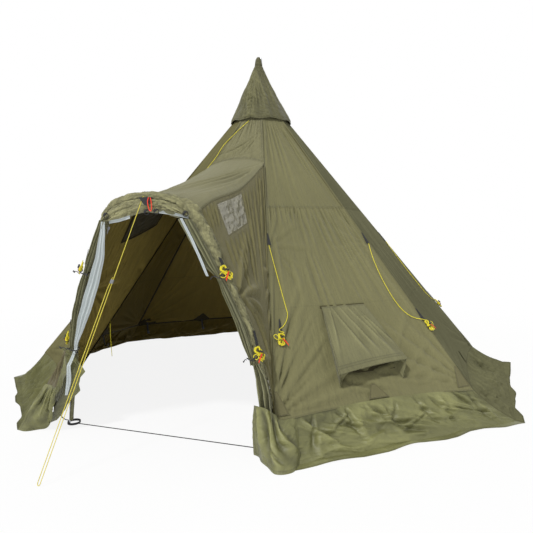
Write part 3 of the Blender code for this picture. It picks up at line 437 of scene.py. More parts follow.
class Nodes:
    """Short names for the shader nodes of one material, or of the world."""

    def __init__(self, name, world=None):
        self.material = world or bpy.data.materials.new(name)
        self.material.use_nodes = True
        self.tree = self.material.node_tree
        self.shader = self.tree.nodes.get("Principled BSDF")

    def add(self, kind, **values):
        node = self.tree.nodes.new("ShaderNode" + kind)
        for key, value in values.items():
            setattr(node, key, value)
        return node

    def link(self, out, target):
        self.tree.links.new(out, target)

    def feed(self, node, **inputs):
        for key, value in inputs.items():
            socket = node.inputs[int(key[1:]) if key[0] == "_" else key.replace("_", " ")]
            if isinstance(value, bpy.types.NodeSocket):
                self.link(value, socket)
            else:
                socket.default_value = value
        return node

    def math(self, operation, a, b=0.0, c=None, clamp=False):
        node = self.feed(self.add("Math", operation=operation, use_clamp=clamp), _0=a, _1=b)
        if c is not None:
            self.feed(node, _2=c)
        return node.outputs[0]

    def noise(self, vector, scale, detail=2.0, roughness=0.5):
        node = self.feed(self.add("TexNoise"), Vector=vector, Scale=scale, Detail=detail, Roughness=roughness)
        return node.outputs["Fac"]

    def stretched(self, vector, scale):
        return self.feed(self.add("Mapping"), Vector=vector, Scale=scale).outputs[0]

    def span(self, value, low, high, out_low, out_high):
        node = self.feed(self.add("MapRange"), Value=value, From_Min=low, From_Max=high,
                         To_Min=out_low, To_Max=out_high)
        return node.outputs[0]

    def bump(self, height, strength, distance, normal=None):
        node = self.feed(self.add("Bump"), Height=height, Strength=strength, Distance=distance)
        if normal is not None:
            self.link(normal, node.inputs["Normal"])
        return node.outputs[0]

    def mark(self, name):
        """A value that the mesh holds at each of its points."""
        return self.add("Attribute", attribute_name=name).outputs["Fac"]

    def wave(self, vector, direction, scale, distortion=0.0):
        node = self.add("TexWave", wave_type="BANDS", bands_direction=direction)
        return self.feed(node, Vector=vector, Scale=scale, Distortion=distortion).outputs["Fac"]

    def seen(self):
        """1 for what the camera, a gloss or clear film sees, and 0 for what lights the object."""
        path = self.add("LightPath")
        mirrored = self.math("MAXIMUM", path.outputs["Is Glossy Ray"], path.outputs["Is Transmission Ray"])
        return self.math("MAXIMUM", path.outputs["Is Camera Ray"], mirrored)

    def surface(self, part, first, second, output):
        """Shows a mix of two shaders."""
        mix = self.feed(self.add("MixShader"), _0=part)
        self.link(first, mix.inputs[1])
        self.link(second, mix.inputs[2])
        self.link(mix.outputs[0], self.tree.nodes[output].inputs["Surface"])

    def tint(self, colour, value):
        """The colour, made lighter or darker by a factor."""
        node = self.add("VectorMath", operation="SCALE")
        self.feed(node, _0=colour, Scale=value)
        return node.outputs[0]


# relief sets the strength of the painted highlight on fold crests and painted shade in fold hollows
def cloth_material(name, colour, rough=0.78, streak=0.10, wrinkle=0.5, crumple=0.0, sheen=0.12, pleat=0.3,
                   seam_width=0.014, stitch=0.0045, groove_tone=0.72, spec=0.25, relief=0.13, cell=11.0):
    """Woven cloth: warp and weft, broad tone, streaks along its pleats, sewn edges and rows of stitches, with painted
    shade in fold hollows and painted highlight on fold crests.
    """
    n = Nodes(name)
    n.feed(n.shader, Roughness=rough, Sheen_Weight=sheen, Sheen_Roughness=0.5, Specular_IOR_Level=spec)
    uv = n.add("UVMap", uv_map="cloth").outputs[0]
    place = n.add("TexCoord").outputs["Object"]
    ends = n.feed(n.add("SeparateXYZ"), _0=uv)
    lane = n.mark("lane")
    along = n.feed(n.add("CombineXYZ"), X=lane, Y=ends.outputs[1]).outputs[0]
    broad = n.noise(place, 1.7, 3.0, 0.55)
    streaks = n.noise(n.stretched(along, (30.0, 1.6, 1.0)), 1.0, 3.0, 0.6)
    speckle = n.noise(place, 260.0, 2.0, 0.7)
    tone = n.math("ADD", n.span(broad, 0.25, 0.75, 1 - streak * 0.6, 1 + streak * 0.6),
                  n.span(streaks, 0.2, 0.8, -streak * 0.8, streak * 0.8))
    tone = n.math("ADD", tone, n.span(speckle, 0.2, 0.8, -0.05, 0.05))
    # Painted highlight on the fold crests and painted shade in the hollows, read from the cloth's high mark
    high = n.mark("high")
    tone = n.math("MULTIPLY", tone, n.span(high, -1.0, 1.0, 1 - relief, 1 + relief * 0.6))
    edge = n.mark("edge")
    seam = n.math("ABSOLUTE", n.mark("seam"))
    near = n.math("MINIMUM", edge, seam)
    band = n.span(near, seam_width, seam_width + 0.0015, 1.0, 0.0)
    beside = n.span(near, seam_width - 0.002, seam_width + 0.006, -1.0, 1.0)
    groove = n.math("SUBTRACT", 1.0, n.math("ABSOLUTE", beside), clamp=True)
    tone = n.math("MULTIPLY", tone, n.span(band, 0.0, 1.0, 1.0, 0.95))
    tone = n.math("MULTIPLY", tone, n.span(groove, 0.0, 1.0, 1.0, groove_tone))
    run = n.math("ADD", ends.outputs[0], ends.outputs[1])
    dash = n.math("LESS_THAN", n.math("FRACT", n.math("DIVIDE", run, stitch)), 0.62)
    row = n.math("COMPARE", near, seam_width * 0.75, 0.0007)
    thread = n.math("MULTIPLY", dash, row)
    tone = n.math("MULTIPLY", tone, n.span(thread, 0.0, 1.0, 1.0, 0.75))
    if crumple:
        drift = n.feed(n.add("TexNoise"), Vector=uv, Scale=7.0, Detail=2.0)
        warp = n.feed(n.add("VectorMath", operation="MULTIPLY_ADD"), _0=drift.outputs["Color"],
                      _1=(0.10, 0.10, 0.0), _2=uv)
        facets = n.feed(n.add("TexVoronoi", feature="DISTANCE_TO_EDGE"),
                        Vector=n.stretched(warp.outputs[0], (1.0, 1.6, 1.0)), Scale=cell).outputs["Distance"]
        # Painted shade along the crumple's crease lines
        tone = n.math("MULTIPLY", tone, n.span(facets, 0.0, 0.10, 1 - 0.28 * crumple, 1.0))
    n.link(n.tint(linear(colour), tone), n.shader.inputs["Base Color"])
    small = n.noise(n.stretched(uv, (9.0, 5.0, 1.0)), 3.0, 4.0, 0.6)
    height = n.bump(small, wrinkle, 0.012)
    pleats = n.noise(n.stretched(along, (26.0, 1.3, 1.0)), 1.0, 2.0, 0.55)
    height = n.bump(pleats, pleat, 0.03, height)
    if crumple:
        height = n.bump(facets, crumple, 0.03, height)
    pucker = n.math("MULTIPLY", n.span(near, 0.0, 0.06, 1.0, 0.0), n.noise(uv, 70.0, 1.0))
    height = n.bump(pucker, 0.55, 0.006, height)
    height = n.bump(n.math("SUBTRACT", band, n.math("MULTIPLY", thread, 0.6)), 0.6, 0.0015, height)
    weave = n.math("MULTIPLY", n.wave(uv, "X", 260.0), n.wave(uv, "Y", 260.0))
    height = n.bump(weave, 0.35, 0.0004, height)
    n.link(height, n.shader.inputs["Normal"])
    return n.material


def plain_material(name, colour, rough=0.5, metallic=0.0, grain=120.0, bump=0.15):
    """Moulded or metal stuff: fine grain, slight changes of tone and of gloss."""
    vary = 0.12
    n = Nodes(name)
    n.feed(n.shader, Metallic=metallic)
    place = n.add("TexCoord").outputs["Object"]
    fine = n.noise(place, grain, 3.0, 0.6)
    broad = n.noise(place, grain / 14, 2.0)
    tone = n.math("ADD", n.span(fine, 0.2, 0.8, 1 - vary, 1 + vary), n.span(broad, 0.2, 0.8, -vary / 2, vary / 2))
    n.link(n.tint(linear(colour), tone), n.shader.inputs["Base Color"])
    n.link(n.span(broad, 0.2, 0.8, rough * 0.85, min(1.0, rough * 1.15)), n.shader.inputs["Roughness"])
    n.link(n.bump(fine, bump, 0.001), n.shader.inputs["Normal"])
    return n.material


def cord_material(name, colour, shadow=0.62):
    """Braided cord: crossed diagonal strands round the line."""
    n = Nodes(name)
    n.feed(n.shader, Roughness=0.62, Sheen_Weight=0.2)
    place = n.add("TexCoord").outputs["Object"]
    strands = n.math("MULTIPLY", n.wave(place, "DIAGONAL", 170.0, 1.0),
                     n.wave(n.stretched(place, (-1.0, 1.0, 1.0)), "DIAGONAL", 170.0, 1.0))
    worn = n.span(n.noise(place, 40.0), 0.2, 0.8, 0.93, 1.07)
    tone = n.math("MULTIPLY", n.span(strands, 0.0, 0.8, shadow, 1.08), worn)
    n.link(n.tint(linear(colour), tone), n.shader.inputs["Base Color"])
    n.link(n.bump(strands, 0.7, 0.0012), n.shader.inputs["Normal"])
    return n.material


def film_material():
    """Clear film gone milky with handling: sharp crinkles, gloss, and a hint of what is behind."""
    n = Nodes("window_film_creased")
    n.feed(n.shader, Roughness=0.16, Specular_IOR_Level=0.55, Alpha=0.86)
    place = n.add("TexCoord").outputs["Object"]
    uv = n.add("UVMap", uv_map="cloth").outputs[0]
    crinkle = n.noise(n.stretched(uv, (1.0, 1.5, 1.0)), 17.0, 4.0, 0.55)
    facets = n.feed(n.add("TexVoronoi", feature="SMOOTH_F1"), Vector=uv, Scale=19.0, Smoothness=0.35)
    facets = facets.outputs["Distance"]
    cloud = n.noise(place, 11.0, 2.0)
    tone = n.math("ADD", n.span(crinkle, 0.3, 0.7, 0.80, 1.14), n.span(cloud, 0.3, 0.7, -0.12, 0.12))
    edge = n.mark("edge")
    tone = n.math("MULTIPLY", tone, n.span(edge, 0.004, 0.010, 1.25, 1.0))
    n.link(n.tint(linear(FILM_GREY), tone), n.shader.inputs["Base Color"])
    n.link(n.bump(crinkle, 0.9, 0.012, n.bump(facets, 0.7, 0.012)), n.shader.inputs["Normal"])
    return n.material


def ribbed_material(name, colour, pitch=0.006, rough=0.6):
    """Zip tape: fine cross ribs of teeth between two plain edges."""
    n = Nodes(name)
    n.feed(n.shader, Roughness=rough)
    uv = n.add("UVMap", uv_map="cloth").outputs[0]
    parts = n.feed(n.add("SeparateXYZ"), _0=uv)
    rib = n.math("PINGPONG", n.math("DIVIDE", parts.outputs[1], pitch), 0.5)
    middle = n.span(n.math("ABSOLUTE", parts.outputs[0]), 0.004, 0.005, 1.0, 0.0)
    teeth = n.math("MULTIPLY", rib, middle)
    tone = n.math("ADD", n.span(teeth, 0.0, 0.5, 1.0, 0.72), n.span(n.noise(uv, 300.0, 2.0), 0.2, 0.8, -0.07, 0.07))
    n.link(n.tint(linear(colour), tone), n.shader.inputs["Base Color"])
    n.link(n.bump(teeth, 0.8, 0.002, n.bump(n.noise(uv, 60.0, 2.0), 0.3, 0.003)), n.shader.inputs["Normal"])
    return n.material


def make_materials():
    return {
        "wall": cloth_material("olive_canvas", OLIVE, seam_width=0.006, groove_tone=0.80, pleat=0.22, streak=0.07,
                               wrinkle=0.7),
        "wall_right_painted_shade": cloth_material("olive_canvas_right_painted_shade", RIGHT_WALL_PAINTED_SHADE_OLIVE, seam_width=0.006, groove_tone=0.80, pleat=0.12,
                                    sheen=0.0, spec=0.0, rough=1.0),
        "wall_left": cloth_material("olive_canvas_left_painted_shade", LEFT_WALL_PAINTED_SHADE_OLIVE, seam_width=0.006, groove_tone=0.80, pleat=0.3,
                                    sheen=0.0, spec=0.05, rough=0.95, relief=0.25),
        "inside": cloth_material("olive_canvas_inner_face_painted_light", INNER_PAINTED_LIGHT_OLIVE, seam_width=0.006, groove_tone=0.6, sheen=0.0,
                                 spec=0.1),
        "gore": cloth_material("olive_canvas_front", FRONT_OLIVE, wrinkle=1.0, pleat=0.4, crumple=0.35, cell=16.0),
        "roof": cloth_material("porch_roof_canvas", ROOF_OLIVE, wrinkle=0.35, streak=0.06, pleat=0.15),
        "side": cloth_material("porch_side_canvas", SIDE_OLIVE, pleat=0.1, relief=0.22, wrinkle=0.7),
        "cap": cloth_material("cap_canvas", CAP_OLIVE, wrinkle=1.0, pleat=0.35, relief=0.40, crumple=0.45, cell=13.0),
        "sleeve": cloth_material("sleeve_canvas", SLEEVE_OLIVE, wrinkle=0.9, crumple=0.55, relief=0.38, pleat=0.05,
                                 cell=19.0),
        "skirt": cloth_material("skirt_nylon", SKIRT_GREEN, rough=0.46, wrinkle=0.35, crumple=0.30, sheen=0.0, spec=0.5,
                                pleat=0.05, relief=0.62, cell=8.0),
        "skirt_left": cloth_material("skirt_nylon_left_painted_shade", LEFT_SKIRT_PAINTED_SHADE_GREEN, rough=0.7, wrinkle=0.35, crumple=0.30,
                                     sheen=0.0, spec=0.12, pleat=0.05, relief=0.40, cell=8.0),
        "inside_rear_painted_light": cloth_material("olive_canvas_inner_rear_painted_light", INNER_REAR_PAINTED_LIGHT_OLIVE, seam_width=0.006, groove_tone=0.6,
                                      sheen=0.0, spec=0.1, wrinkle=0.7),
        "skirt_right_painted_shade": cloth_material("skirt_nylon_right_painted_shade", RIGHT_SKIRTS_PAINTED_SHADE_GREEN, rough=0.9, wrinkle=0.4, crumple=0.25, sheen=0.0,
                                     spec=0.03, pleat=0.1, relief=0.2),
        "curtain": cloth_material("curtain_canvas", CURTAIN_GREEN, wrinkle=0.5, spec=0.35, rough=0.6, relief=0.30,
                                  pleat=0.1),
        "hood": cloth_material("hood_canvas", HOOD_OLIVE, seam_width=0.008, pleat=0.25, relief=0.42, wrinkle=0.8),
        "seam_tape": cloth_material("inner_seam_tape", SEAM_TAPE_BROWN, seam_width=0.002, sheen=0.0, spec=0.1),
        "flare": cloth_material("leg_flare_canvas", FLARE_OLIVE, relief=0.4),
        "fan": cloth_material("corner_patch_canvas", PATCH_OLIVE, seam_width=0.004, relief=0.25),
        "film": film_material(),
        "shade": cloth_material("vent_lining_painted_shade", SHADED_OLIVE, relief=0.35),
        "film_inside": cloth_material("window_inner_face", WINDOW_BACK_BROWN, seam_width=0.002, sheen=0.0, spec=0.3),
        "yellow": cord_material("yellow_braid", CORD_YELLOW, shadow=0.93),
        "dull_yellow": cord_material("yellow_braid_taut", TAUT_CORD_YELLOW, shadow=0.78),
        "red": plain_material("red_tape", TAPE_RED, rough=0.6, grain=400.0),
        "webbing": ribbed_material("black_tape_webbing", WEBBING_BLACK, pitch=0.0035, rough=0.7),
        "black": plain_material("black_moulding", MOULDED_BLACK, rough=0.42),
        "grey": plain_material("grey_moulding", MOULDED_GREY, rough=0.45),
        "metal": plain_material("drawn_aluminium", ALUMINIUM, rough=0.32, metallic=1.0, grain=90.0, bump=0.05),
        "rubber": plain_material("foot_rubber_moulded", RUBBER_BLACK, rough=0.85, grain=200.0, bump=0.3),
        "tape": ribbed_material("zip_tape_grey", ZIP_GREY),
    }


# Camera, light and floor


def make_camera():
    scene = bpy.context.scene
    scene.view_settings.view_transform = "Standard"
    camera = bpy.data.cameras.new("camera")
    camera.angle = 2 * math.atan(FRAME_HALF / FOCAL_LENGTH)
    camera.clip_end = 200
    eye = bpy.data.objects.new("camera", camera)
    scene.collection.objects.link(eye)
    level = math.cos(EYE_PITCH)
    forward = Vector((-math.sin(EYE_TURN) * level, math.cos(EYE_TURN) * level, math.sin(EYE_PITCH)))
    right = Vector((math.cos(EYE_TURN), math.sin(EYE_TURN), 0.0))
    up = right.cross(forward)
    side = right * math.cos(EYE_ROLL) + up * math.sin(EYE_ROLL)
    top = up * math.cos(EYE_ROLL) - right * math.sin(EYE_ROLL)
    eye.matrix_world = Matrix.Translation(EYE_PLACE) @ Matrix((side, top, -forward)).transposed().to_4x4()
    scene.camera = eye


def make_world():
    """A sky that is white where it is seen, and dimmer where it lights the object."""
    world = bpy.data.worlds.new("studio")
    bpy.context.scene.world = world
    n = Nodes("studio", world)
    white = (1.0, 1.0, 1.0, 1.0)
    sky = n.feed(n.tree.nodes["Background"], Color=white, Strength=SKY_STRENGTH)
    backdrop = n.feed(n.add("Background"), Color=white, Strength=1.0)
    n.surface(n.seen(), sky.outputs[0], backdrop.outputs[0], "World Output")


def make_lamp(name, kind, energy, way):
    data = bpy.data.lights.new(name, kind)
    data.energy = energy
    lamp = bpy.data.objects.new(name, data)
    bpy.context.scene.collection.objects.link(lamp)
    lamp.rotation_euler = Vector(way).to_track_quat("-Z", "Y").to_euler()
    return lamp


def make_stage():
    make_camera()
    make_world()
    make_lamp("key", "SUN", SUN_STRENGTH, SUN_WAY).data.angle = SUN_SPREAD
    fill = make_lamp("fill", "AREA", FILL_POWER, FILL_WAY)
    fill.data.shape = "DISK"
    fill.data.size = FILL_SIZE
    fill.location = FILL_PLACE
    data = bpy.data.meshes.new("floor")
    corners = [(x * FLOOR_HALF, y * FLOOR_HALF, 0) for x, y in ((-1, -1), (1, -1), (1, 1), (-1, 1))]
    data.from_pydata(corners, [], [(0, 1, 2, 3)])
    floor = bpy.data.objects.new("floor", data)
    floor.location.z = -FLOOR_DROP
    bpy.context.scene.collection.objects.link(floor)
    data.materials.append(floor_material())


def floor_material():
    """Pale floor: white to the camera far from the object, and keeping its shadow close to it."""
    n = Nodes("studio_floor")
    place = n.add("TexCoord").outputs["Object"]
    tone = n.span(n.noise(place, 3.0, 2.0), 0.2, 0.8, 0.985, 1.0)
    n.link(n.tint((0.97, 0.97, 0.97), tone), n.shader.inputs["Base Color"])
    n.feed(n.shader, Roughness=0.9, Specular_IOR_Level=0.1)
    away = n.feed(n.add("VectorMath", operation="LENGTH"), _0=place).outputs["Value"]
    part = n.math("MULTIPLY", n.seen(), n.span(away, *FLOOR_FADE, FLOOR_GLOW, 1.0))
    glow = n.feed(n.add("Emission"), Color=(1.0, 1.0, 1.0, 1.0), Strength=1.0)
    n.surface(part, n.shader.outputs[0], glow.outputs[0], "Material Output")
    return n.material


# Walls


def wall_radius(height):
    return SLOPE * (APEX_HEIGHT - height)


def ridge(turn, height):
    return heading(turn) * wall_radius(height) + UP * height


def hem_height(share):
    return HEM_HEIGHT + HEM_RISE * (1 - share * share)


def wall_point(face, share, height):
    """Middle of the wall cloth; share runs from -1 at the left ridge to 1 at the right one."""
    share, height = np.broadcast_arrays(np.asarray(share, float), np.asarray(height, float))
    turn = face * FACE_TURN
    corner = wall_radius(height)
    half = corner * math.sin(HALF_CORNER) - 0.0008
    sag = WALL_SAG * (1 - share * share) * corner / HEM_RADIUS
    return (heading(turn) * (corner * math.cos(HALF_CORNER) - sag)[..., None]
            + across(turn) * (half * share)[..., None] + UP * height[..., None])


def half_width(height):
    return wall_radius(height) * math.sin(HALF_CORNER)


def wall_normal(face):
    return unit(heading(face * FACE_TURN) + UP * FACE_SLOPE)


def beside_ridge(face, side, height, offset):
    half = half_width(height)
    return wall_point(face, side * (offset / half - 1), height)


def wall_marks(face):
    """Folds of one wall: fanning down from the cap and the cross seam, and pulled from its tied corners."""
    rng = np.random.default_rng(300 + face)
    marks = []
    for i in range(13):
        share = -0.9 + 1.8 * (i + rng.uniform(-0.4, 0.4)) / 12
        low = rng.choice((rng.uniform(2.15, 2.3), rng.uniform(1.60, 1.95)))
        lean = share + rng.uniform(-0.20, 0.20)
        marks.append((share * half_width(2.43), 2.43, lean * half_width(low), low, 0.005, rng.uniform(0.010, 0.020),
                      rng.uniform(0.008, 0.014)))
    for i in range(40):
        share = -0.95 + 1.9 * (i + rng.uniform(-0.45, 0.45)) / 39
        low = WALL_SEAM_HEIGHT - rng.uniform(0.05, 0.20)
        marks.append((share * half_width(WALL_SEAM_HEIGHT), WALL_SEAM_HEIGHT + 0.01, share * half_width(low), low,
                      0.006, rng.uniform(0.008, 0.012), rng.uniform(0.008, 0.013)))
    for i in range(9):
        share = -0.15 + 1.0 * (i + rng.uniform(-0.4, 0.4)) / 8
        low = rng.uniform(0.75, 1.25)
        marks.append((share * half_width(WALL_SEAM_HEIGHT), WALL_SEAM_HEIGHT + 0.02, share * half_width(low), low,
                      0.006, rng.uniform(0.010, 0.018), rng.uniform(0.009, 0.014)))
    for i in range(8):
        share = rng.uniform(-0.85, 0.85)
        top, low = rng.uniform(1.15, 1.42), rng.uniform(0.55, 0.95)
        marks.append((share * half_width(top), top, (share + 0.08) * half_width(low), low, 0.010, 0.022,
                      rng.uniform(0.006, 0.012)))
    for side in (-1, 1):
        corner = side * half_width(HEM_HEIGHT)
        for i in range(9):
            turn = math.radians(8 + 8.5 * i + rng.uniform(-3, 3))
            run = rng.uniform(0.45, 1.1)
            # The right wall's patches take its shaded copy of the olive: painted shade
            start = (corner - side * 0.05 * math.cos(turn), HEM_HEIGHT + 0.03 + 0.05 * math.sin(turn))
            marks.append((*start, start[0] - side * run * math.cos(turn), start[1] + run * math.sin(turn),
                          0.006, rng.uniform(0.016, 0.032), rng.uniform(0.011, 0.019)))
        tie = side * (half_width(1.30) - 0.02)
        for i in range(5):
            turn = math.radians(-65 + 30 * i + rng.uniform(-6, 6))
            run = rng.uniform(0.15, 0.45)
            marks.append((tie, 1.30, tie - side * run * math.cos(turn), 1.30 + run * math.sin(turn), 0.006, 0.018,
                          rng.uniform(0.006, 0.011)))
    return marks


FRONT_WALL_MARKS = (
    # Folds round the hood's foot, and sheltered ones below it
    (-0.25, 0.44, 0.10, 0.36, 0.010, 0.020, 0.026), (-0.20, 0.40, 0.26, 0.31, 0.010, 0.018, 0.022),
    (0.26, 0.46, -0.02, 0.40, 0.010, 0.018, 0.022), (-0.22, 0.36, 0.20, 0.27, 0.008, 0.014, 0.016),
    # Above and right of the hood
    (0.18, 0.86, 0.06, 1.35, 0.010, 0.03, 0.006), (-0.18, 0.86, -0.20, 1.30, 0.010, 0.03, 0.006),
    (0.33, 0.40, 0.70, 0.62, 0.008, 0.025, 0.012), (0.33, 0.36, 0.78, 0.47, 0.008, 0.025, 0.013),
    (0.34, 0.33, 0.76, 0.35, 0.008, 0.018, 0.011), (0.30, 0.52, 0.66, 0.92, 0.010, 0.03, 0.010))


def corner_pulls():
    """Fine folds from the lower left corner of the right front wall up to the left edge of the vent hood."""
    rng = np.random.default_rng(411)
    marks = []
    for k in range(17):
        start = (-0.77 + 0.004 * k + rng.uniform(-0.02, 0.02), 0.47 - 0.0125 * k + rng.uniform(-0.01, 0.01))
        end = (-0.19 - 0.005 * k + rng.uniform(-0.03, 0.03), 1.16 - 0.047 * k + rng.uniform(-0.02, 0.02))
        marks.append((*start, *end, 0.006, rng.uniform(0.011, 0.020), rng.uniform(0.008, 0.015)))
    return marks


def build_walls(mats):
    for name, face in FACES.items():
        stations = [-1.0, -VENT_HOLE_SHARE, VENT_HOLE_SHARE, 1.0]
        finer = 2.0 if face == 1 else 1.0
        shares = np.concatenate([np.linspace(a, b, int(k * finer), endpoint=False) for a, b, k in
                                 zip(stations, stations[1:], (40, 34, 40))] + [[1.0]])
        steps = [0.0, VENT_SILL, VENT_TOP, WALL_SEAM_HEIGHT, WALL_TOP]
        rise = np.concatenate([np.linspace(a, b, k, endpoint=False) for a, b, k in
                               zip(steps[1:], steps[2:], (30, 40, 46))] + [[WALL_TOP]])
        low = np.linspace(0, 1, 8)[:-1, None]
        heights = np.concatenate([hem_height(shares)[None] * (1 - low) + VENT_SILL * low,
                                  np.repeat(rise[:, None], len(shares), axis=1)])
        share = np.repeat(shares[None], len(heights), axis=0)
        points = wall_point(face, share, heights)
        u = share * half_width(heights)
        fade = stretch(1 - np.abs(share), 0.0, 0.10) * stretch(heights - HEM_HEIGHT, 0.0, 0.05)
        marks = wall_marks(face) + (list(FRONT_WALL_MARKS) + corner_pulls() if face == 1 else [])
        high = folds(u, heights, marks) + 0.006 * noise(u * 3 + 7 * face, heights * 2.2, 17 + face)
        high += 0.004 * creases(share * 4 + 1.5 * heights, heights * 2.4, 140 + face)
        near_cap = stretch(heights, 2.30, 2.40)
        # The crests stay at the solid's surface, where the guylines lie, and the hollows go inward
        deep = 0.0006 - 0.004 * np.logaddexp(0, (0.0106 - 1.15 * high) / 0.004)
        deep = np.maximum(deep, -0.045) * (0.45 if face == 2 else 1.0)
        points = push(points, deep * fade * (1 - near_cap))
        hole = (np.abs(share[:-1, :-1] + share[1:, 1:]) / 2 < VENT_HOLE_SHARE) \
            & (heights[:-1, :-1] > VENT_SILL + 0.09) & (heights[1:, 1:] < VENT_TOP + 1e-6)
        edge = np.minimum(half_width(heights) * (1 - np.abs(share)), np.maximum(heights - hem_height(share), 0) * 1.2)
        seam = np.minimum(np.abs(heights - WALL_SEAM_HEIGHT), np.abs(heights - LOWER_SEAM_HEIGHT) + 0.004)
        # The right wall and the left front wall take shaded copies of the olive: painted shade
        finish = mats[{2: "wall_right_painted_shade", 7: "wall_left"}.get(face, "wall")]
        # Inner faces of the right and rear walls take the lighter copy: painted light
        obj = cloth("wall_cloth_" + name, points, finish, ("wall_" + name,), holes=hole if face == 1 else None,
                    seam=seam, edge=edge, thickness=0.002, lane=0.9 * share, high=high / 0.012,
                    inner=mats["inside_rear_painted_light"] if face in (2, 3, 4, 5) else mats["inside"])


def gore_height(share):
    return ROOF_REAR_EDGE + ROOF_REAR_CROWN * (1 - share * share)


def build_front_gore(mats):
    share = np.repeat(np.linspace(-1, 1, 81)[None], 70, axis=0)
    t = np.linspace(0, 1, 70)[:, None]
    heights = (gore_height(share) + FABRIC) * (1 - t) + WALL_TOP * t
    points = wall_point(0, share, heights)
    u = share * half_width(heights)
    rng = np.random.default_rng(9)
    marks = [(k * 0.018, 2.43, k * 0.038 + rng.uniform(-0.03, 0.03), rng.uniform(2.0, 2.2), 0.005, 0.013,
              rng.uniform(0.007, 0.013)) for k in range(-7, 8)]
    marks += [(0.17 - 0.03 * k, 2.33 - 0.035 * k, 0.03 - 0.05 * k, 2.03, 0.005, 0.012, 0.012) for k in range(7)]
    high = folds(u, heights, marks)
    high += 0.007 * creases(u * 15 + 4 * heights, heights * 8, 77) * stretch(2.30 - heights, 0, 0.2)
    fade = stretch(1 - np.abs(share), 0.0, 0.12) * stretch(heights - gore_height(share), 0.0, 0.03)
    deep = 0.0006 - 0.004 * np.logaddexp(0, (0.007 - high) / 0.004)
    points = push(points, np.maximum(deep, -0.03) * fade * (1 - stretch(heights, 2.36, 2.42)))
    edge = np.minimum(half_width(heights) * (1 - np.abs(share)), heights - gore_height(share))
    obj = cloth("front_gore_cloth", points, mats["gore"], ("front_gore",), edge=edge, thickness=0.002,
                lane=0.5 * share, high=high / 0.010, inner=mats["inside"])


def build_cap(mats):
    """Peak cap: drawn over the walls' ridges, puckered down its front, with a sewn tip."""
    profile = np.array(CAP_PROFILE)
    heights = np.concatenate([np.linspace(2.405, 2.95, 80), np.linspace(2.955, 3.026, 12)])
    radii = np.interp(heights, profile[::-1, 1], profile[::-1, 0])
    radii = radii + np.interp(heights, (2.405, 2.44, 2.60, 2.70, 2.80, 2.88, 2.95, 3.005, 3.026),
                              (-0.008, 0.002, 0.010, 0.020, 0.017, 0.012, 0.012, 0.010, 0.004))
    turns = np.linspace(0, 2 * math.pi, 241)
    turn, height = np.meshgrid(turns, heights)
    radius = np.repeat(radii[:, None], len(turns), axis=1)
    flat = 1 - np.abs((((turn - HALF_CORNER) / FACE_TURN + 0.5) % 1.0) - 0.5) * 2
    low = 1 - stretch(height, 2.45, 2.80)
    radius = radius * (1 - 0.075 * (1 - flat) ** 1.3 * (0.2 + 0.8 * low))
    front = ((turn + math.pi) % (2 * math.pi)) - math.pi
    u = front * radius
    across_band = (u + 0.012 + 0.03 * (2.95 - height)) / (0.014 + 0.085 * (2.95 - height).clip(0))
    band = np.exp(-across_band ** 4) * stretch(2.95 - height, 0.0, 0.05)
    relief = band * (0.004 + 0.017 * creases(u * 26 + 3 * height, height * 13, 5))
    pulls = [(-0.02, 2.93, -0.16 + 0.045 * k, 2.44, 0.005, 0.014, 0.019) for k in range(9)]
    relief += folds(u, height, pulls) * np.exp(-(u / 0.20) ** 4)
    relief += folds(turn * 0.3, height, [(k * 0.15, 2.94, k * 0.15 + 0.03, 2.42, 0.008, 0.022, 0.007)
                                         for k in range(13)])
    slack = 0.005 * noise(turn * 4, height * 6, 21) + 0.004 * creases(turn * 5, height * 9, 23)
    relief += slack * stretch(2.93 - height, 0, 0.1)
    relief = relief * stretch(height, 2.405, 2.44) * stretch(2.95 - height, 0.0, 0.06)
    slit = np.exp(-((u + 0.053) / 0.005) ** 2) * (1 - stretch(height, 2.45, 2.48))
    radius += np.clip(relief, -0.016, 0.018) - 0.010 * slit
    radius -= 0.003 * np.exp(-((height - 2.946) / 0.005) ** 2)
    drop = 0.020 * (1 - flat) ** 1.2 * np.clip((2.52 - height) / 0.115, 0, 1)
    drop += 0.004 * noise(turn * 5, height * 0, 8) * np.clip((2.52 - height) / 0.115, 0, 1)
    points = np.stack([np.sin(turn) * radius, -np.cos(turn) * radius, height + drop], axis=-1)
    # The slack peak leans a little to one side
    lean = 0.020 * stretch(height, 2.42, 2.80)
    points = points - np.stack([0.94 * lean, 0.34 * lean, 0 * lean], axis=-1)
    seam = np.minimum(np.abs(height - 2.950) + 0.008, np.abs(height - 2.405))
    obj = cloth("peak_cap_cloth", points, mats["cap"], ("peak_cap",), seam=seam, closed=True, thickness=0.002,
                lane=turn * 0.3, high=(relief - 0.012 * slit) / 0.010)
    cap_tip(mats, points[-1])


def cap_tip(mats, ring):
    """Rounded end of the cap over the pole."""
    centre = ring[:-1].mean(axis=0)
    rows = [ring[:-1]]
    for turn in (0.35 * math.pi / 2, 0.65 * math.pi / 2, 0.88 * math.pi / 2):
        rows.append(centre + (ring[:-1] - centre) * math.cos(turn) + UP * (0.005 * math.sin(turn)))
    verts = np.concatenate(rows + [[centre + UP * 0.0055]])
    count = len(ring) - 1
    faces = []
    for i in range(len(rows) - 1):
        for j in range(count):
            k = (j + 1) % count
            faces.append((i * count + j, i * count + k, (i + 1) * count + k, (i + 1) * count + j))
    top = (len(rows) - 1) * count
    faces += [(top + j, top + (j + 1) % count, len(verts) - 1) for j in range(count)]
    return mesh_piece("peak_cap_tip", verts, faces, mats["cap"], uv=verts[:, :2],
                      marks={"edge": np.ones(len(verts)), "seam": np.ones(len(verts)), "lane": verts[:, 0],
                             "high": np.zeros(len(verts))})


# Skirts


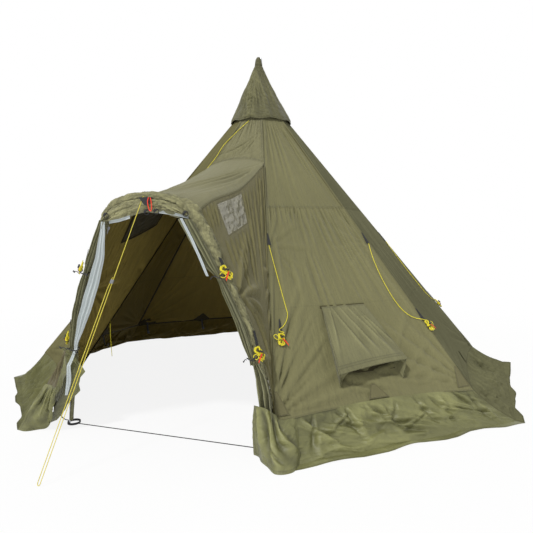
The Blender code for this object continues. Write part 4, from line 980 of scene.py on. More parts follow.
def skirt_end(face, side, back):
    if face == FACES["left_front"] and side == 1:
        return LEFT_SKIRT_END + 0.4 * back
    own = SKIRT_REACH[face] - back
    other = SKIRT_REACH[(face + side) % 8] - back
    return side * (other - own * math.cos(FACE_TURN)) / math.sin(FACE_TURN)


def skirt_ground(face, share, back):
    turn = face * FACE_TURN
    left = skirt_end(face, -1, back)
    right = skirt_end(face, 1, back)
    along = left + (right - left) * (share + 1) / 2
    return (heading(turn) * (SKIRT_REACH[face] - back)[..., None] + across(turn) * along[..., None]
            + UP * 0.0016)


def slanting(u, s, degrees, long, short, seed):
    """Creased cloth whose folds run at an angle; long and short are how often it turns along and across them."""
    turn = math.radians(degrees)
    along = u * math.cos(turn) + s * math.sin(turn)
    over = s * math.cos(turn) - u * math.sin(turn)
    return creases(along * long + 0.6 * noise(along * 3, over * 6, seed + 40), over * short, seed)


def skirt_marks(face):
    """Drapes of one skirt, as distance along it and distance down from its hem."""
    rng = np.random.default_rng(800 + face)
    marks = []
    for i in range(13):
        u = -0.82 + 1.64 * (i + rng.uniform(-0.3, 0.3)) / 12
        lean = rng.uniform(-0.30, 0.30) + 0.15 * math.copysign(1, -u) * rng.uniform(0, 1)
        marks.append((u, 0.005, u + lean, rng.uniform(0.22, 0.40), 0.010, rng.uniform(0.025, 0.055),
                      rng.choice((-1, 1)) * rng.uniform(0.012, 0.030)))
    for i in range(10):
        u = rng.uniform(-0.85, 0.85)
        lean = rng.uniform(-0.35, 0.35)
        low = rng.uniform(0.10, 0.28)
        marks.append((u, low, u + lean, low + rng.uniform(-0.04, 0.14), 0.012, 0.03,
                      rng.choice((-1, 1)) * rng.uniform(0.008, 0.018)))
    for i in range(22):
        u = -0.86 + 1.72 * (i + rng.uniform(-0.4, 0.4)) / 21
        marks.append((u, 0.0, u + rng.uniform(-0.05, 0.05), rng.uniform(0.05, 0.14), 0.006, 0.016,
                      rng.uniform(0.004, 0.009)))
    if face in (1, 7):
        # Long sharp folds, most of them running down from left to right
        for i in range(12):
            u = -0.84 + 1.5 * i / 11 + rng.uniform(-0.05, 0.05)
            hand = 1 if face == 7 or i % 4 else -1
            run, fall = rng.uniform(0.26, 0.50), rng.uniform(0.10, 0.22)
            low = rng.uniform(0.02, 0.16)
            marks.append((u, low, u + hand * run, low + fall, 0.006, rng.uniform(0.014, 0.026),
                          rng.uniform(0.010, 0.018)))
    return marks


def build_skirts(mats):
    """Mud skirts: crumpled falls of thinner cloth sewn inside the hem and spread on the ground."""
    for name, face in FACES.items():
        columns, rows = (210, 60) if face in (1, 2, 7) else (130, 40)
        share = np.repeat(np.linspace(-1, 1, columns)[None], rows, axis=0)
        t = np.repeat(np.linspace(0, 1, rows)[:, None], columns, axis=1)
        # t runs from the outer edge on the ground (0) to the hem (1)
        lie = 0.16
        seed = 60 + 7 * face
        wave = np.clip(0.45 + 0.8 * noise(share * 3.4, share * 0, seed + 17), 0, 1)
        back = SKIRT_FLAP * 0.75 * wave * (1 - share ** 6)
        flat = skirt_ground(face, share, back * (1 - stretch(t, 0, lie)) + SKIRT_FLAP * stretch(t, 0, lie))
        hem = wall_point(face, share, hem_height(share) + 0.008) - wall_normal(face) * 0.0035
        up = np.clip((t - lie) / (1 - lie), 0, 1)
        bend = 0.55 * up + 0.45 * up ** 2
        # The cloth bellies outward before it reaches the ground
        points = flat * (1 - up[..., None]) + hem * up[..., None]
        points[..., 2] = flat[..., 2] + (hem[..., 2] - flat[..., 2]) * bend ** 0.92
        u, s = share * 0.87, (1 - t) * 0.40
        side = 1 - np.abs(share) ** 14
        fade = side * np.sin(np.pi * np.clip(up, 0, 1)) ** 0.5
        # Long slanting folds, crossed by steeper ones
        relief = slanting(u, s, 20, 1.2, 5.5, seed) * 0.030 - slanting(u, s, -38, 1.7, 6.0, seed + 21) * 0.012
        relief = relief + slanting(u, s, 55, 2.2, 5.0, seed + 31) * 0.004
        relief = relief + slanting(u, s, 16, 2.6, 14.0, seed + 3) * 0.012
        drapes = folds(u, s, skirt_marks(face))
        relief = relief + 0.7 * drapes
        out = np.clip(relief, -0.065, 0.08) * fade
        points = points + heading(face * FACE_TURN) * out[..., None]
        lay = side * (1 - up) ** 2 * stretch(t, 0.0, 0.10)
        ripple = 0.5 + 0.5 * noise(u * 8, s * 5, seed + 9)
        lift = (0.020 * ripple ** 2 + 0.35 * np.abs(drapes)) * lay
        lift += (0.5 * relief + 0.5 * drapes) * fade * (1 - up) ** 0.5
        edge_lift = side * (1 - stretch(t, 0.0, 0.05)) * np.maximum(0, noise(u * 7, u * 0, seed + 13)) * 0.008
        if face in (2, 3):
            # Stiff cloth stands off the ground at the right rear corner
            lift = lift + 0.085 * stretch(share * (5 - 2 * face), 0.72, 1.0) * (1 - up)
        points[..., 2] = np.maximum(points[..., 2] + lift + edge_lift, 0.0016)
        edge = np.minimum(np.minimum(t * 0.40, (1 - np.abs(share)) * 0.87), 1.0)
        # The right, right rear and left front skirts take shaded copies of the skirt green: painted shade
        finish = mats[{2: "skirt_right_painted_shade", 3: "skirt_right_painted_shade", 7: "skirt_left"}.get(face, "skirt")]
        obj = cloth("skirt_cloth_" + name, points, finish, ("skirt_" + name,), edge=edge,
                    thickness=0.0016, high=relief / 0.04, inner=mats["inside"])


# Porch


def arch_y(height):
    return ARCH_FOOT_Y - ARCH_LEAN * height


def arch_leg_x(height):
    route = ARCH_ROUTE[::-1]
    return np.interp(height, [z for x, z in route], [x for x, z in route])


def arch_height(x):
    return np.interp(x, [p[0] for p in ARCH_ROUTE], [p[1] for p in ARCH_ROUTE])


def arch_point(x, z, side=1):
    return np.array((side * x, arch_y(z), z))


def roof_point(share, reach):
    back = wall_point(0, share, gore_height(share))
    x = ROOF_FRONT_X * share
    z = arch_height(np.abs(x))
    rest = SLEEVE_RADIUS + FABRIC + 2 * GAP
    front = np.stack([x * (1 + rest / ROOF_FRONT_X * 0.4), arch_y(z) + rest * 0.72, z + rest * 0.72], axis=-1)
    drop = 1 - np.maximum(1 - reach, 0.0) ** ROOF_HOLLOW
    point = back * (1 - reach[..., None]) + front * reach[..., None]
    point[..., 2] = back[..., 2] + (front[..., 2] - back[..., 2]) * drop
    # The right edge is held up a little near the arch by the gathered sleeve
    lift = np.sin(np.pi * np.clip((reach - 0.35) / 0.65, 0, 1) ** 1.6)
    point[..., 2] += 0.05 * lift * np.clip(share, 0, 1) ** 3
    return point


def build_roof(mats):
    share = np.repeat(np.linspace(-1, 1, 61)[None], 81, axis=0)
    reach = np.repeat(np.concatenate([np.linspace(1, 0, 80), [-0.025]])[:, None], 61, axis=1)
    points = roof_point(share, reach)
    u = share * 0.30
    v = (1 - reach) * 1.25
    # Long pulls from the right rear corner to the front edge, and a hollow down the left
    marks = [(0.30, 1.22, 0.16 - 0.13 * k, 0.05, 0.006, 0.022, 0.012 + 0.002 * (k % 3)) for k in range(4)]
    marks += [(0.28, 1.12, 0.24, 0.10, 0.006, 0.02, 0.010), (-0.28, 1.15, -0.20, 0.2, 0.01, 0.03, 0.009),
              (-0.26, 0.95, -0.05, 0.1, 0.01, 0.03, 0.007)]
    marks += [(0.30, 0.25 + 0.13 * k, 0.22, 0.31 + 0.13 * k, 0.006, 0.014, 0.008) for k in range(7)]
    high = folds(u, v, marks) + 0.005 * noise(u * 7, v * 4, 31)
    high += 0.006 * creases(u * 16, v * 10, 33) * stretch(0.22 - v, 0.0, 0.22)
    fade = stretch(1 - np.abs(share), 0.0, 0.1) * stretch(reach * (1 - reach), 0.0, 0.04)
    points = push(points, np.clip(high, -0.014, 0.014) * fade)
    # Its edges turn down over the side cloths
    for out, down in ((0.003, 0.003), (0.002, 0.007), (-0.001, 0.008)):
        step = np.array((out, 0.0, 0.0))
        right, left = points[:, -1:] + step - UP * down, points[:, :1] - step - UP * down
        points = np.concatenate([left, points, right], axis=1)
    share, v, high = (np.pad(value, ((0, 0), (3, 3)), mode="edge") for value in (share, v, high))
    edge = np.minimum(0.33 * (1 - np.abs(share)) + 0.03, np.minimum(v, 1.25 - v))
    obj = cloth("porch_roof_cloth", points, mats["roof"], ("porch_roof",), edge=edge,
                thickness=0.002, high=high / 0.012, inner=mats["inside"])


def side_point(side, depth, reach):
    clear = FABRIC + GAP
    turn0 = side * HALF_CORNER
    z0 = ROOF_REAR_EDGE + (HEM_HEIGHT - ROOF_REAR_EDGE) * depth
    rear = heading(turn0) * wall_radius(z0)[..., None] + UP * z0[..., None]
    rear = rear - across(turn0) * (side * (FABRIC * 0.75 + GAP))
    top = float(arch_height(ROOF_FRONT_X))
    z = top + (SLEEVE_BOTTOM - top) * depth
    x = np.where(depth > 0, arch_leg_x(z), ROOF_FRONT_X)
    leg = np.stack([side * x, arch_y(z), z], axis=-1)
    turn = math.pi / 2 * (1 - np.maximum(0.0, (depth - SIDE_TURN_DEPTH) / (1 - SIDE_TURN_DEPTH)))
    toward = np.stack([side * np.cos(turn), np.sin(turn), turn * 0], axis=-1)
    front = leg + toward * (SLEEVE_RADIUS + 2.3 * clear)
    seam = roof_point(side + 0 * reach, reach)
    point = rear * (1 - reach[..., None]) + front * reach[..., None]
    start = ridge(turn0, ROOF_REAR_EDGE)
    end = np.array((side * ROOF_FRONT_X, arch_y(top), top))
    top_line = start * (1 - reach[..., None]) + end * reach[..., None]
    pull = (1 - depth) ** 1.5
    point[..., 2] += (seam[..., 2] - top_line[..., 2] - clear * 1.8) * pull
    point[..., 0] += (seam[..., 0] - top_line[..., 0]) * pull
    return point


def side_folds(side, reach, depth):
    """Gathers that hang from the roof seam behind the window, and pulls toward the leg's ties."""
    rng = np.random.default_rng(70 + side)
    marks = []
    for start, low, wide in ((0.03, 0.80, 0.020), (0.10, 0.42, 0.012), (0.16, 0.30, 0.016), (0.22, 0.62, 0.022),
                             (0.29, 0.36, 0.012), (0.35, 0.50, 0.018), (0.40, 0.28, 0.012)):
        marks.append((start, 0.015, start + rng.uniform(-0.06, 0.08), low, 0.006, wide, rng.uniform(0.007, 0.020)))
    marks += [(0.98, 0.40, 0.42, 0.20 + 0.05 * k, 0.008, 0.020, 0.014) for k in range(3)]
    marks += [(0.98, 0.42, 0.30, 0.50 + 0.14 * k, 0.008, 0.024, 0.016) for k in range(4)]
    marks += [(0.98, 0.72, 0.35, 0.80 + 0.07 * k, 0.008, 0.022, 0.015) for k in range(3)]
    marks += [(0.46 + 0.075 * k, 0.19, 0.50 + 0.07 * k, rng.uniform(0.30, 0.55), 0.007, 0.016, 0.013) for k in range(6)]
    marks += [(0.02, 0.50 + 0.07 * k, 0.25, 0.44 + 0.12 * k, 0.008, 0.018, 0.012) for k in range(5)]
    marks += [(0.80 + 0.04 * k, 0.01, 0.86 + 0.03 * k, 0.16, 0.006, 0.012, 0.012) for k in range(4)]
    return folds(reach, depth, marks)


def build_sides(mats):
    for name, side in (("right", 1), ("left", -1)):
        low, high = WINDOW_DEPTH
        near, far = WINDOW_REACH
        depths = np.concatenate([np.linspace(0, low, 4)[:-1], np.linspace(low, high, 20)[:-1],
                                 np.linspace(high, 1, 90)])
        # The cloth starts a little behind the ridge, and its front edge laps into the sleeve
        reaches = np.concatenate([[-0.02], np.linspace(0, near, 50)[:-1], np.linspace(near, far, 34)[:-1],
                                  np.linspace(far, 0.99, 22)])
        order = reaches[::-1] if side == 1 else reaches
        reach, depth = np.meshgrid(order, depths[::-1])
        lap = 0.022 * stretch(reach, 0.93, 0.99) * stretch(depth, 0.0, 0.04) \
            + 0.048 * stretch(reach, 0.90, 0.99) * stretch(depth, 0.60, 0.74)
        points = side_point(side, depth, reach + lap)
        deep = side_folds(side, reach, depth) + 0.003 * noise(reach * 6, depth * 5, 50 + side)
        fade = stretch(reach, 0.0, 0.05) * stretch(0.99 - reach, 0.0, 0.03) * stretch(depth, 0.0, 0.02)
        fade = fade * stretch(1 - depth, 0.0, 0.03)
        middle = (near + far) / 2
        outside = stretch(np.abs(reach - middle), (far - near) / 2, (far - near) / 2 + 0.04) \
            + stretch(depth, high, high + 0.03)
        points = push(points, np.clip(deep, -0.020, 0.018) * fade * np.minimum(outside, 1))
        mid_reach = (reach[:-1, :-1] + reach[1:, 1:]) / 2
        mid_depth = (depth[:-1, :-1] + depth[1:, 1:]) / 2
        hole = (mid_reach > near) & (mid_reach < far) & (mid_depth > low) & (mid_depth < high)
        edge = np.minimum(np.minimum(reach * 1.2, (0.99 - reach) * 1.2), np.minimum(depth * 1.7, (1 - depth) * 1.7))
        pane = np.maximum(np.abs(reach - middle) - (far - near) / 2, 0) * 1.2
        pane = np.hypot(pane, np.maximum(np.abs(depth - (low + high) / 2) - (high - low) / 2, 0) * 1.7)
        obj = cloth("porch_side_cloth_" + name, points, mats["side"], ("porch_side_" + name,),
                    holes=hole, edge=edge, seam=pane + 0.006, thickness=0.002, high=deep / 0.014,
                    inner=mats["inside"])
        build_window(mats, name, side)


def build_window(mats, name, side):
    rim = 0.0004
    depths = np.linspace(WINDOW_DEPTH[1] - rim, WINDOW_DEPTH[0] + rim, 40)
    reaches = np.linspace(WINDOW_REACH[0] + rim, WINDOW_REACH[1] - rim, 48)
    reach, depth = np.meshgrid(reaches[::-1] if side == 1 else reaches, depths)
    points = side_point(side, depth, reach)
    rise = 0.005 * creases(reach * 17, depth * 28, 91 + side) + 0.003 * noise(reach * 9, depth * 12, 93)
    inner = stretch(np.minimum(reach - WINDOW_REACH[0], WINDOW_REACH[1] - reach), 0, 0.05)
    inner = inner * stretch(np.minimum(depth - WINDOW_DEPTH[0], WINDOW_DEPTH[1] - depth), 0, 0.03)
    points = push(points, rise * inner)
    edge = np.minimum(np.minimum(reach - WINDOW_REACH[0], WINDOW_REACH[1] - reach) * 1.2,
                      np.minimum(depth - WINDOW_DEPTH[0], WINDOW_DEPTH[1] - depth) * 1.7)
    obj = cloth("window_film_" + name, points, mats["film"], ("window_" + name,), edge=edge,
                thickness=0.0006, inner=mats["film_inside"])
    # Binding sewn round the pane on its inner side
    near, far = WINDOW_REACH[0] - 0.018, WINDOW_REACH[1] + 0.018
    low, high = WINDOW_DEPTH[0] - 0.012, WINDOW_DEPTH[1] + 0.012
    reaches = np.concatenate([[near], np.linspace(*WINDOW_REACH, 20), [far]])
    depths = np.concatenate([[high], np.linspace(WINDOW_DEPTH[1], WINDOW_DEPTH[0], 14), [low]])
    reach, depth = np.meshgrid(reaches[::-1] if side == 1 else reaches, depths)
    frame_cloth = side_point(side, depth, reach)
    frame_cloth = push(frame_cloth, -0.004)
    hole = np.zeros((len(depths) - 1, len(reaches) - 1), bool)
    hole[1:-1, 1:-1] = True
    obj = cloth("window_binding_" + name, frame_cloth, mats["seam_tape"], holes=hole,
                thickness=0.0012)


def arch_frames(count, bottom):
    half = [arch_point(x, z) for x, z in ARCH_ROUTE if z > bottom]
    half.append(arch_point(float(arch_leg_x(bottom)), bottom))
    left = [p * (-1, 1, 1) for p in reversed(half[1:])]
    route = smooth_route(left + half, count)
    plane = np.array((0.0, -1.0, ARCH_LEAN))
    plane = plane / np.linalg.norm(plane)
    along = np.gradient(route, axis=0)
    along /= np.linalg.norm(along, axis=1, keepdims=True)
    out = -np.cross(along, plane)
    return route, out / np.linalg.norm(out, axis=1, keepdims=True), plane


def build_sleeve(mats):
    """Pole sleeve: puckered along its seam, slack on its outer side."""
    route, out, plane = arch_frames(820, SLEEVE_BOTTOM)
    run = np.concatenate([[0], np.cumsum(np.linalg.norm(np.diff(route, axis=0), axis=1))])
    turns = np.linspace(0, 2 * math.pi, 29)
    s, turn = np.meshgrid(run, turns, indexing="ij")
    wrap = np.cos(turn - 0.6)
    pucker = -0.0060 * creases(s * 21 + 1.8 * np.sin(turn), turn * 1.2 + 3, 6)
    pucker -= 0.0045 * creases(s * 44 + 2 * turn, turn * 2.2 + 1, 16)
    low, top = stretch(route[:, 2], 1.16, 1.30), 1 - stretch(route[:, 2], 1.50, 1.60)
    slack = (low * top * (route[:, 0] > 0))[:, None] * np.clip(np.cos(turn - 0.2), 0, 1) ** 1.5
    radius = (SLEEVE_RADIUS + 0.0020 + 0.0024 * wrap + np.clip(pucker, -0.0100, 0.0080) * (1 + 0.3 * slack)
              + 0.038 * slack)
    points = (route[:, None] + (out[:, None] * np.cos(turn)[..., None] + plane * np.sin(turn)[..., None])
              * radius[..., None])
    points = points[:, ::-1]
    seam = np.abs(((turn[:, ::-1] - 2.6 + math.pi) % (2 * math.pi)) - math.pi) * SLEEVE_RADIUS
    obj = cloth("arch_sleeve_cloth", points, mats["sleeve"], ("arch_sleeve",), closed=True,
                seam=seam, thickness=0.0016, high=pucker[:, ::-1] / 0.0060)
    line = [(float(arch_leg_x(z)) - 0.006, arch_y(z) - SLEEVE_RADIUS - 0.016, z) for z in np.linspace(1.20, 1.47, 24)]
    obj, points = strip("leg_webbing_right", line, (0.0075, 0.0, 0.003), mats["webbing"])


def build_door_head(mats):
    """The door's top, sewn to the front of the sleeve and hanging over the roll behind it."""
    columns, rows = 150, 40
    x = np.linspace(-0.315, 0.305, columns)
    low = np.interp(x, (-0.317, -0.264, -0.195, -0.112, -0.037, 0.021, 0.092, 0.175, 0.255, 0.295),
                    (1.459, 1.464, 1.473, 1.494, 1.512, 1.523, 1.525, 1.515, 1.498, 1.489)) - 0.002
    top = arch_height(np.abs(x)) - 0.012
    t = np.linspace(0, 1, rows)[:, None]
    z = low[None] * (1 - t) + top[None] * t
    down = top[None] - z
    v = down / np.maximum(top - low, 0.02)[None]
    front = arch_y(z) - (0.034 + 0.020 * np.sin(np.pi * np.clip(v, 0, 1)) ** 0.8)
    curl = 1 - stretch(t, 0.0, 0.10)
    wrinkle = -0.0085 * creases(x[None] * 20 + 1.5 * v, v * 2.6, 61) - 0.0045 * creases(x[None] * 42, v * 5, 62)
    marks = [(-0.30, 0.95, -0.12 + 0.08 * k, 0.45 + 0.1 * (k % 2), 0.02, 0.05, 0.008) for k in range(2)]
    marks += [(0.30, 0.95 - 0.1 * k, 0.08 - 0.03 * k, 0.25 + 0.2 * k, 0.012, 0.035, 0.011) for k in range(4)]
    wrinkle = wrinkle + folds(np.repeat(x[None], rows, 0), v, marks)
    y = front - wrinkle * (1 - curl) + curl * 0.022
    points = np.stack([np.repeat(x[None], rows, 0), y, z + 0.003 * curl], axis=-1)
    edge = np.repeat(t * 0.09, columns, axis=1)
    seam = np.abs(down - 0.028)
    obj = cloth("door_head_cloth", points, mats["sleeve"], edge=edge, seam=seam, thickness=0.0016,
                high=wrinkle / 0.008)
    for label, start, end in (("left", -0.268, -0.11), ("right", 0.10, 0.300)):
        xs = np.linspace(start, end, 30)
        zs = np.interp(xs, x, low) - 0.004
        line = np.stack([xs, arch_y(zs) - 0.034, zs], axis=-1)
        obj, points = strip("door_head_tape_" + label, line, (0.0, 0.0, 0.0100), mats["tape"])


def build_door_roll(mats):
    """The rolled middle of the door under the arch: a soft roll with its wraps, creased where it is tied."""
    x = np.linspace(-ROLL_HALF_WIDTH, ROLL_HALF_WIDTH, 90)
    z = arch_height(np.abs(x))
    drop = (SLEEVE_RADIUS + FABRIC / 2 + ROLL_RADIUS * 1.07) / np.cos(x * 2.0)
    centre = np.stack([x, arch_y(z), z - drop], axis=-1)
    turns = np.linspace(0, 2 * math.pi, 33)
    b = np.repeat(turns[None], len(x), axis=0)
    tied = np.exp(-((x + 0.12) / 0.014) ** 2) + np.exp(-((x - 0.13) / 0.014) ** 2)
    end = 1 - 0.4 * np.abs(x / ROLL_HALF_WIDTH) ** 6
    size = ROLL_RADIUS * 1.02 * end * (1 - 0.22 * tied)
    radius = size[:, None] * (1 + 0.05 * np.sin(3 * b + 14 * x[:, None]))
    radius = radius + 0.0025 * creases(x[:, None] * 30 + b * 0.5, b * 1.4, 12)
    points = centre[:, None] + np.stack([0 * b, np.cos(b) * radius, np.sin(b) * radius], axis=-1)
    obj = cloth("door_roll_cloth", points[:, ::-1], mats["curtain"], ("door_roll",), closed=True,
                thickness=0.0014)


def curtain_centre(side, height):
    reach = SLEEVE_RADIUS + FABRIC / 2 + CURTAIN_RADIUS * 1.06 - CURTAIN_NESTING
    leg = arch_point(float(arch_leg_x(height)), height, side)
    spread = max(0.0, 1 - height / CURTAIN_TIES[1])
    toward = np.array((-CURTAIN_INWARD * side, -1.0, 0.0))
    toward /= np.linalg.norm(toward)
    return leg + toward * reach + np.array((0.01 * side, -0.06, 0.0)) * spread


def curtain_size(height):
    low = CURTAIN_TIES[1]
    if height < low:
        spread = 1 - height / low
        return (CURTAIN_TIE_RADIUS + (CURTAIN_FLARE - CURTAIN_TIE_RADIUS) * spread,
                CURTAIN_TIE_RADIUS + 0.006 * spread)
    near = min(abs(height - tie) for tie in CURTAIN_TIES)
    full = CURTAIN_TIE_RADIUS + (CURTAIN_RADIUS - CURTAIN_TIE_RADIUS) * min(1.0, near / 0.09)
    return full, full


def build_curtain(mats, name, side):
    """A door half gathered into pleats and tied to its arch leg; its loose corner hangs below the lower tie."""
    heights = np.concatenate([np.linspace(0.585, 1.2, 74), np.linspace(1.21, CURTAIN_TOP + 0.02, 30)])
    pleats, count = 3, 97
    rows, relief = [], []
    t = np.linspace(-1, 1, count)
    for height in heights:
        centre = curtain_centre(side, height)
        half, thick = curtain_size(height)
        along = np.array((side, 0.0, 0.0))
        back = np.array((0.0, 1.0, 0.0))
        phase = 0.9 * np.sin(5.0 * height + 2 * side) + 0.5 * noise(t * 2.0, height * 6, 71)
        x = half * (0.98 * t + 0.06 * noise(t * 3, height * 8, 73))
        if side == 1:
            x = x + 0.036 * float(stretch(height, 1.12, 1.20)) * np.minimum(t, 0.0)
        limit = np.sqrt(np.clip(1 - (t * 0.90) ** 2, 0, 1))
        y = thick * 0.95 * limit * np.sin(math.pi * pleats * t + phase)
        y = y + 0.0045 * creases(t * 4 + 5 + 3 * height, height * 9, 75)
        relief.append(-y / thick)
        rows.append(centre + along * x[:, None] + back * y[:, None])
    points, relief = np.array(rows), np.array(relief)
    if side == -1:
        points, relief = points[:, ::-1], relief[:, ::-1]
    edge = np.repeat(np.linspace(0, 0.5, count)[None], len(heights), axis=0)
    obj = cloth("door_curtain_cloth_" + name, points, mats["curtain"], ("door_curtain_" + name,),
                edge=np.minimum(edge, 0.5 - edge), thickness=0.0016, high=relief)
    build_loose_corner(mats, name, side)


# Outlines of the door's loose corners below the lower ties: (x, z) of each edge
CORNER_EDGES = {
    "right": (((0.668, 0.60), (0.672, 0.56), (0.675, 0.43), (0.680, 0.30), (0.684, 0.16)),
              ((0.712, 0.60), (0.752, 0.54), (0.792, 0.43), (0.806, 0.30), (0.806, 0.155))),
    "left": (((-0.745, 0.60), (-0.775, 0.50), (-0.815, 0.40), (-0.855, 0.30), (-0.885, 0.20), (-0.875, 0.12),
              (-0.865, 0.055)),
             ((-0.712, 0.60), (-0.650, 0.555), (-0.575, 0.47), (-0.556, 0.445), (-0.600, 0.40), (-0.618, 0.35),
              (-0.612, 0.305), (-0.680, 0.245), (-0.735, 0.19), (-0.757, 0.155), (-0.845, 0.062)))}


def build_loose_corner(mats, name, side):
    """The corner of a door half below its lower tie, opening out of the tie in deep pleats."""
    outer, inner = (np.array(edge) for edge in CORNER_EDGES[name])
    bottom = max(outer[-1, 1], inner[-1, 1])
    z = np.linspace(bottom, 0.60, 80)
    left = np.interp(z, outer[::-1, 1], outer[::-1, 0])
    right = np.interp(z, inner[::-1, 1], inner[::-1, 0])
    t = np.linspace(0, 1, 90)
    x = left[:, None] * (1 - t) + right[:, None] * t
    open_out = np.clip((0.60 - z) / 0.25, 0, 1)[:, None]
    if side == 1:
        high = (0.015 + 0.014 * open_out) * np.sin(2 * math.pi * 2.5 * t[None] ** 1.15 + 2.2 * z[:, None] + 1.0)
    else:
        # One deep fold between two flat leaves
        place = 0.42 + 0.25 * open_out
        high = -0.055 * open_out * np.exp(-((t[None] - place) / 0.11) ** 2) + 0.018 * np.sin(5 * t[None] + 1.4)
    high = high + 0.008 * creases(t[None] * 3 + 4 * z[:, None], z[:, None] * 7, 83 + side)
    y = arch_y(z)[:, None] - 0.058 - 0.028 * open_out + high
    if side == 1:
        y = y + 0.05 * open_out * (1 - t[None]) - 0.035 * open_out * t[None]
    points = np.stack([x, y, np.repeat(z[:, None], len(t), 1)], axis=-1)
    edge = np.minimum(np.abs(x - left[:, None]), np.abs(x - right[:, None]))
    seam = np.repeat((z - bottom)[:, None], len(t), 1)
    finish = mats["curtain"] if side == 1 else mats["skirt"]
    obj = cloth("door_corner_cloth_" + name, points, finish, edge=edge, seam=seam, thickness=0.0014,
                high=-high / 0.03 if side == 1 else high / 0.05 + 0.45)


def build_skirt_wrap(mats):
    """The right front skirt's end, carried round the corner of the hem to the arch's foot."""
    top = smooth_route([(0.675, -1.952, 0.338), (0.708, -1.978, 0.344), (0.763, -1.995, 0.342), (0.790, -1.985, 0.325),
                        (0.816, -1.950, 0.290), (0.833, -1.915, 0.252), (0.900, -1.800, 0.240)], 110)
    low = smooth_route([(0.648, -1.893, 0.004), (0.690, -1.915, 0.003), (0.728, -1.975, 0.0022), (0.790, -2.034, 0.002),
                        (0.870, -2.112, 0.002), (0.950, -2.060, 0.002), (0.965, -1.93, 0.002)], 110)
    t = np.linspace(0, 1, 60)[:, None]
    points = low[None] * (1 - t[..., None]) + top[None] * t[..., None]
    s = np.linspace(0, 1, 110)[None]
    belly = np.sin(np.pi * t) ** 0.8
    marks = [(0.10 + 0.09 * k, 0.99, 0.30 + 0.17 * k, 0.03, 0.025, 0.055, 0.020 - 0.034 * (k % 2)) for k in range(6)]
    marks += [(0.62, 0.62, 0.95, 0.30, 0.02, 0.04, 0.016), (0.45, 0.40, 0.75, 0.10, 0.02, 0.04, -0.016)]
    high = folds(np.repeat(s, 60, 0), np.repeat(t, 110, 1), marks) + 0.008 * creases(s * 5 + 4 * t, t * 3 - s * 3, 97)
    edge = np.minimum(np.repeat(t * 0.28, 110, 1), np.repeat(s * 0.4, 60, 0))
    points = push(points, (high + 0.008) * belly * stretch(1 - s, 0.0, 0.12))
    points[..., 2] = np.maximum(points[..., 2], 0.002)
    obj = cloth("skirt_wrap_cloth_right", points, mats["skirt"], edge=edge, thickness=0.0014,
                high=high / 0.018)


# Door zip tapes as (x, z, half width) down the arch legs
ZIP_LINES = {
    "right": ((0.279, 1.475, 0.011), (0.312, 1.40, 0.012), (0.342, 1.344, 0.0125), (0.374, 1.26, 0.0125),
              (0.406, 1.179, 0.012), (0.425, 1.13, 0.010)),
    "left": ((-0.292, 1.460, 0.010), (-0.312, 1.36, 0.017), (-0.340, 1.25, 0.024), (-0.365, 1.18, 0.028),
             (-0.442, 1.007, 0.034), (-0.524, 0.836, 0.031), (-0.600, 0.670, 0.015), (-0.624, 0.611, 0.009),
             (-0.622, 0.53, 0.010), (-0.632, 0.43, 0.014), (-0.656, 0.34, 0.014), (-0.676, 0.285, 0.006))}


def build_zip(mats, name, side):
    """Zip tape along the door's edge, folded on itself in ribs where it is wide."""
    knots = np.array(ZIP_LINES[name])
    z = np.linspace(knots[-1, 1], knots[0, 1], 170)
    x = np.interp(z, knots[::-1, 1], knots[::-1, 0])
    half = np.interp(z, knots[::-1, 1], knots[::-1, 2])
    x = np.convolve(np.pad(x, 6, mode="reflect", reflect_type="odd"), np.ones(13) / 13, "valid")
    half = np.convolve(np.pad(half, 6, mode="edge"), np.ones(13) / 13, "valid")
    count = 49
    t = np.linspace(-1, 1, count)
    stand = 0.066 if side == -1 else 0.088
    below = np.clip((0.60 - z) / 0.1, 0, 1) * 0.085
    ribs = 2.5 if side == -1 else 0.5
    rows = []
    for i in range(len(z)):
        fold = 0.006 * min(1.0, (half[i] - 0.008) / 0.02) * np.cos(2 * math.pi * ribs * (t + 1) / 2)
        across_tape = side * half[i] * t
        lean = 0.35 * across_tape * side
        y = arch_y(z[i]) - stand - below[i] + fold - lean + 0.0018 * math.sin(z[i] * 37)
        rows.append(np.stack([x[i] + across_tape, y, np.full(count, z[i])], axis=-1))
    points = np.array(rows)
    if side == -1:
        points = points[:, ::-1]
    obj = cloth("zip_tape_cloth_" + name, points, mats["tape"], ("zip_tape_" + name,),
                thickness=0.0014)


# Vent


def vent_hinge():
    return wall_point(1, 0.0, VENT_TOP) + wall_normal(1) * (FABRIC + HOOD_STANDOFF)


def hood_normal():
    return unit(heading(FACE_TURN) * HOOD_FALL + UP * HOOD_REACH)


def hood_point(share, drop):
    """A place on the hood's flat pattern; drop runs from 0 at the hinge to 1 at the lip."""
    half = HOOD_TOP_HALF + (HOOD_LIP_HALF - HOOD_TOP_HALF) * drop
    lift = HOOD_CROWN * np.sin(np.pi * np.minimum(drop, 1)) * (1 - share * share)
    return (vent_hinge() + across(FACE_TURN) * (half * share)[..., None]
            + heading(FACE_TURN) * (HOOD_REACH * drop)[..., None]
            - UP * (HOOD_FALL * drop)[..., None] + hood_normal() * lift[..., None])


def lip_drop(share):
    """How far down the hood's cloth its lip lies; the left corner hangs lowest."""
    return 1.0 + 0.055 * (1 - share)


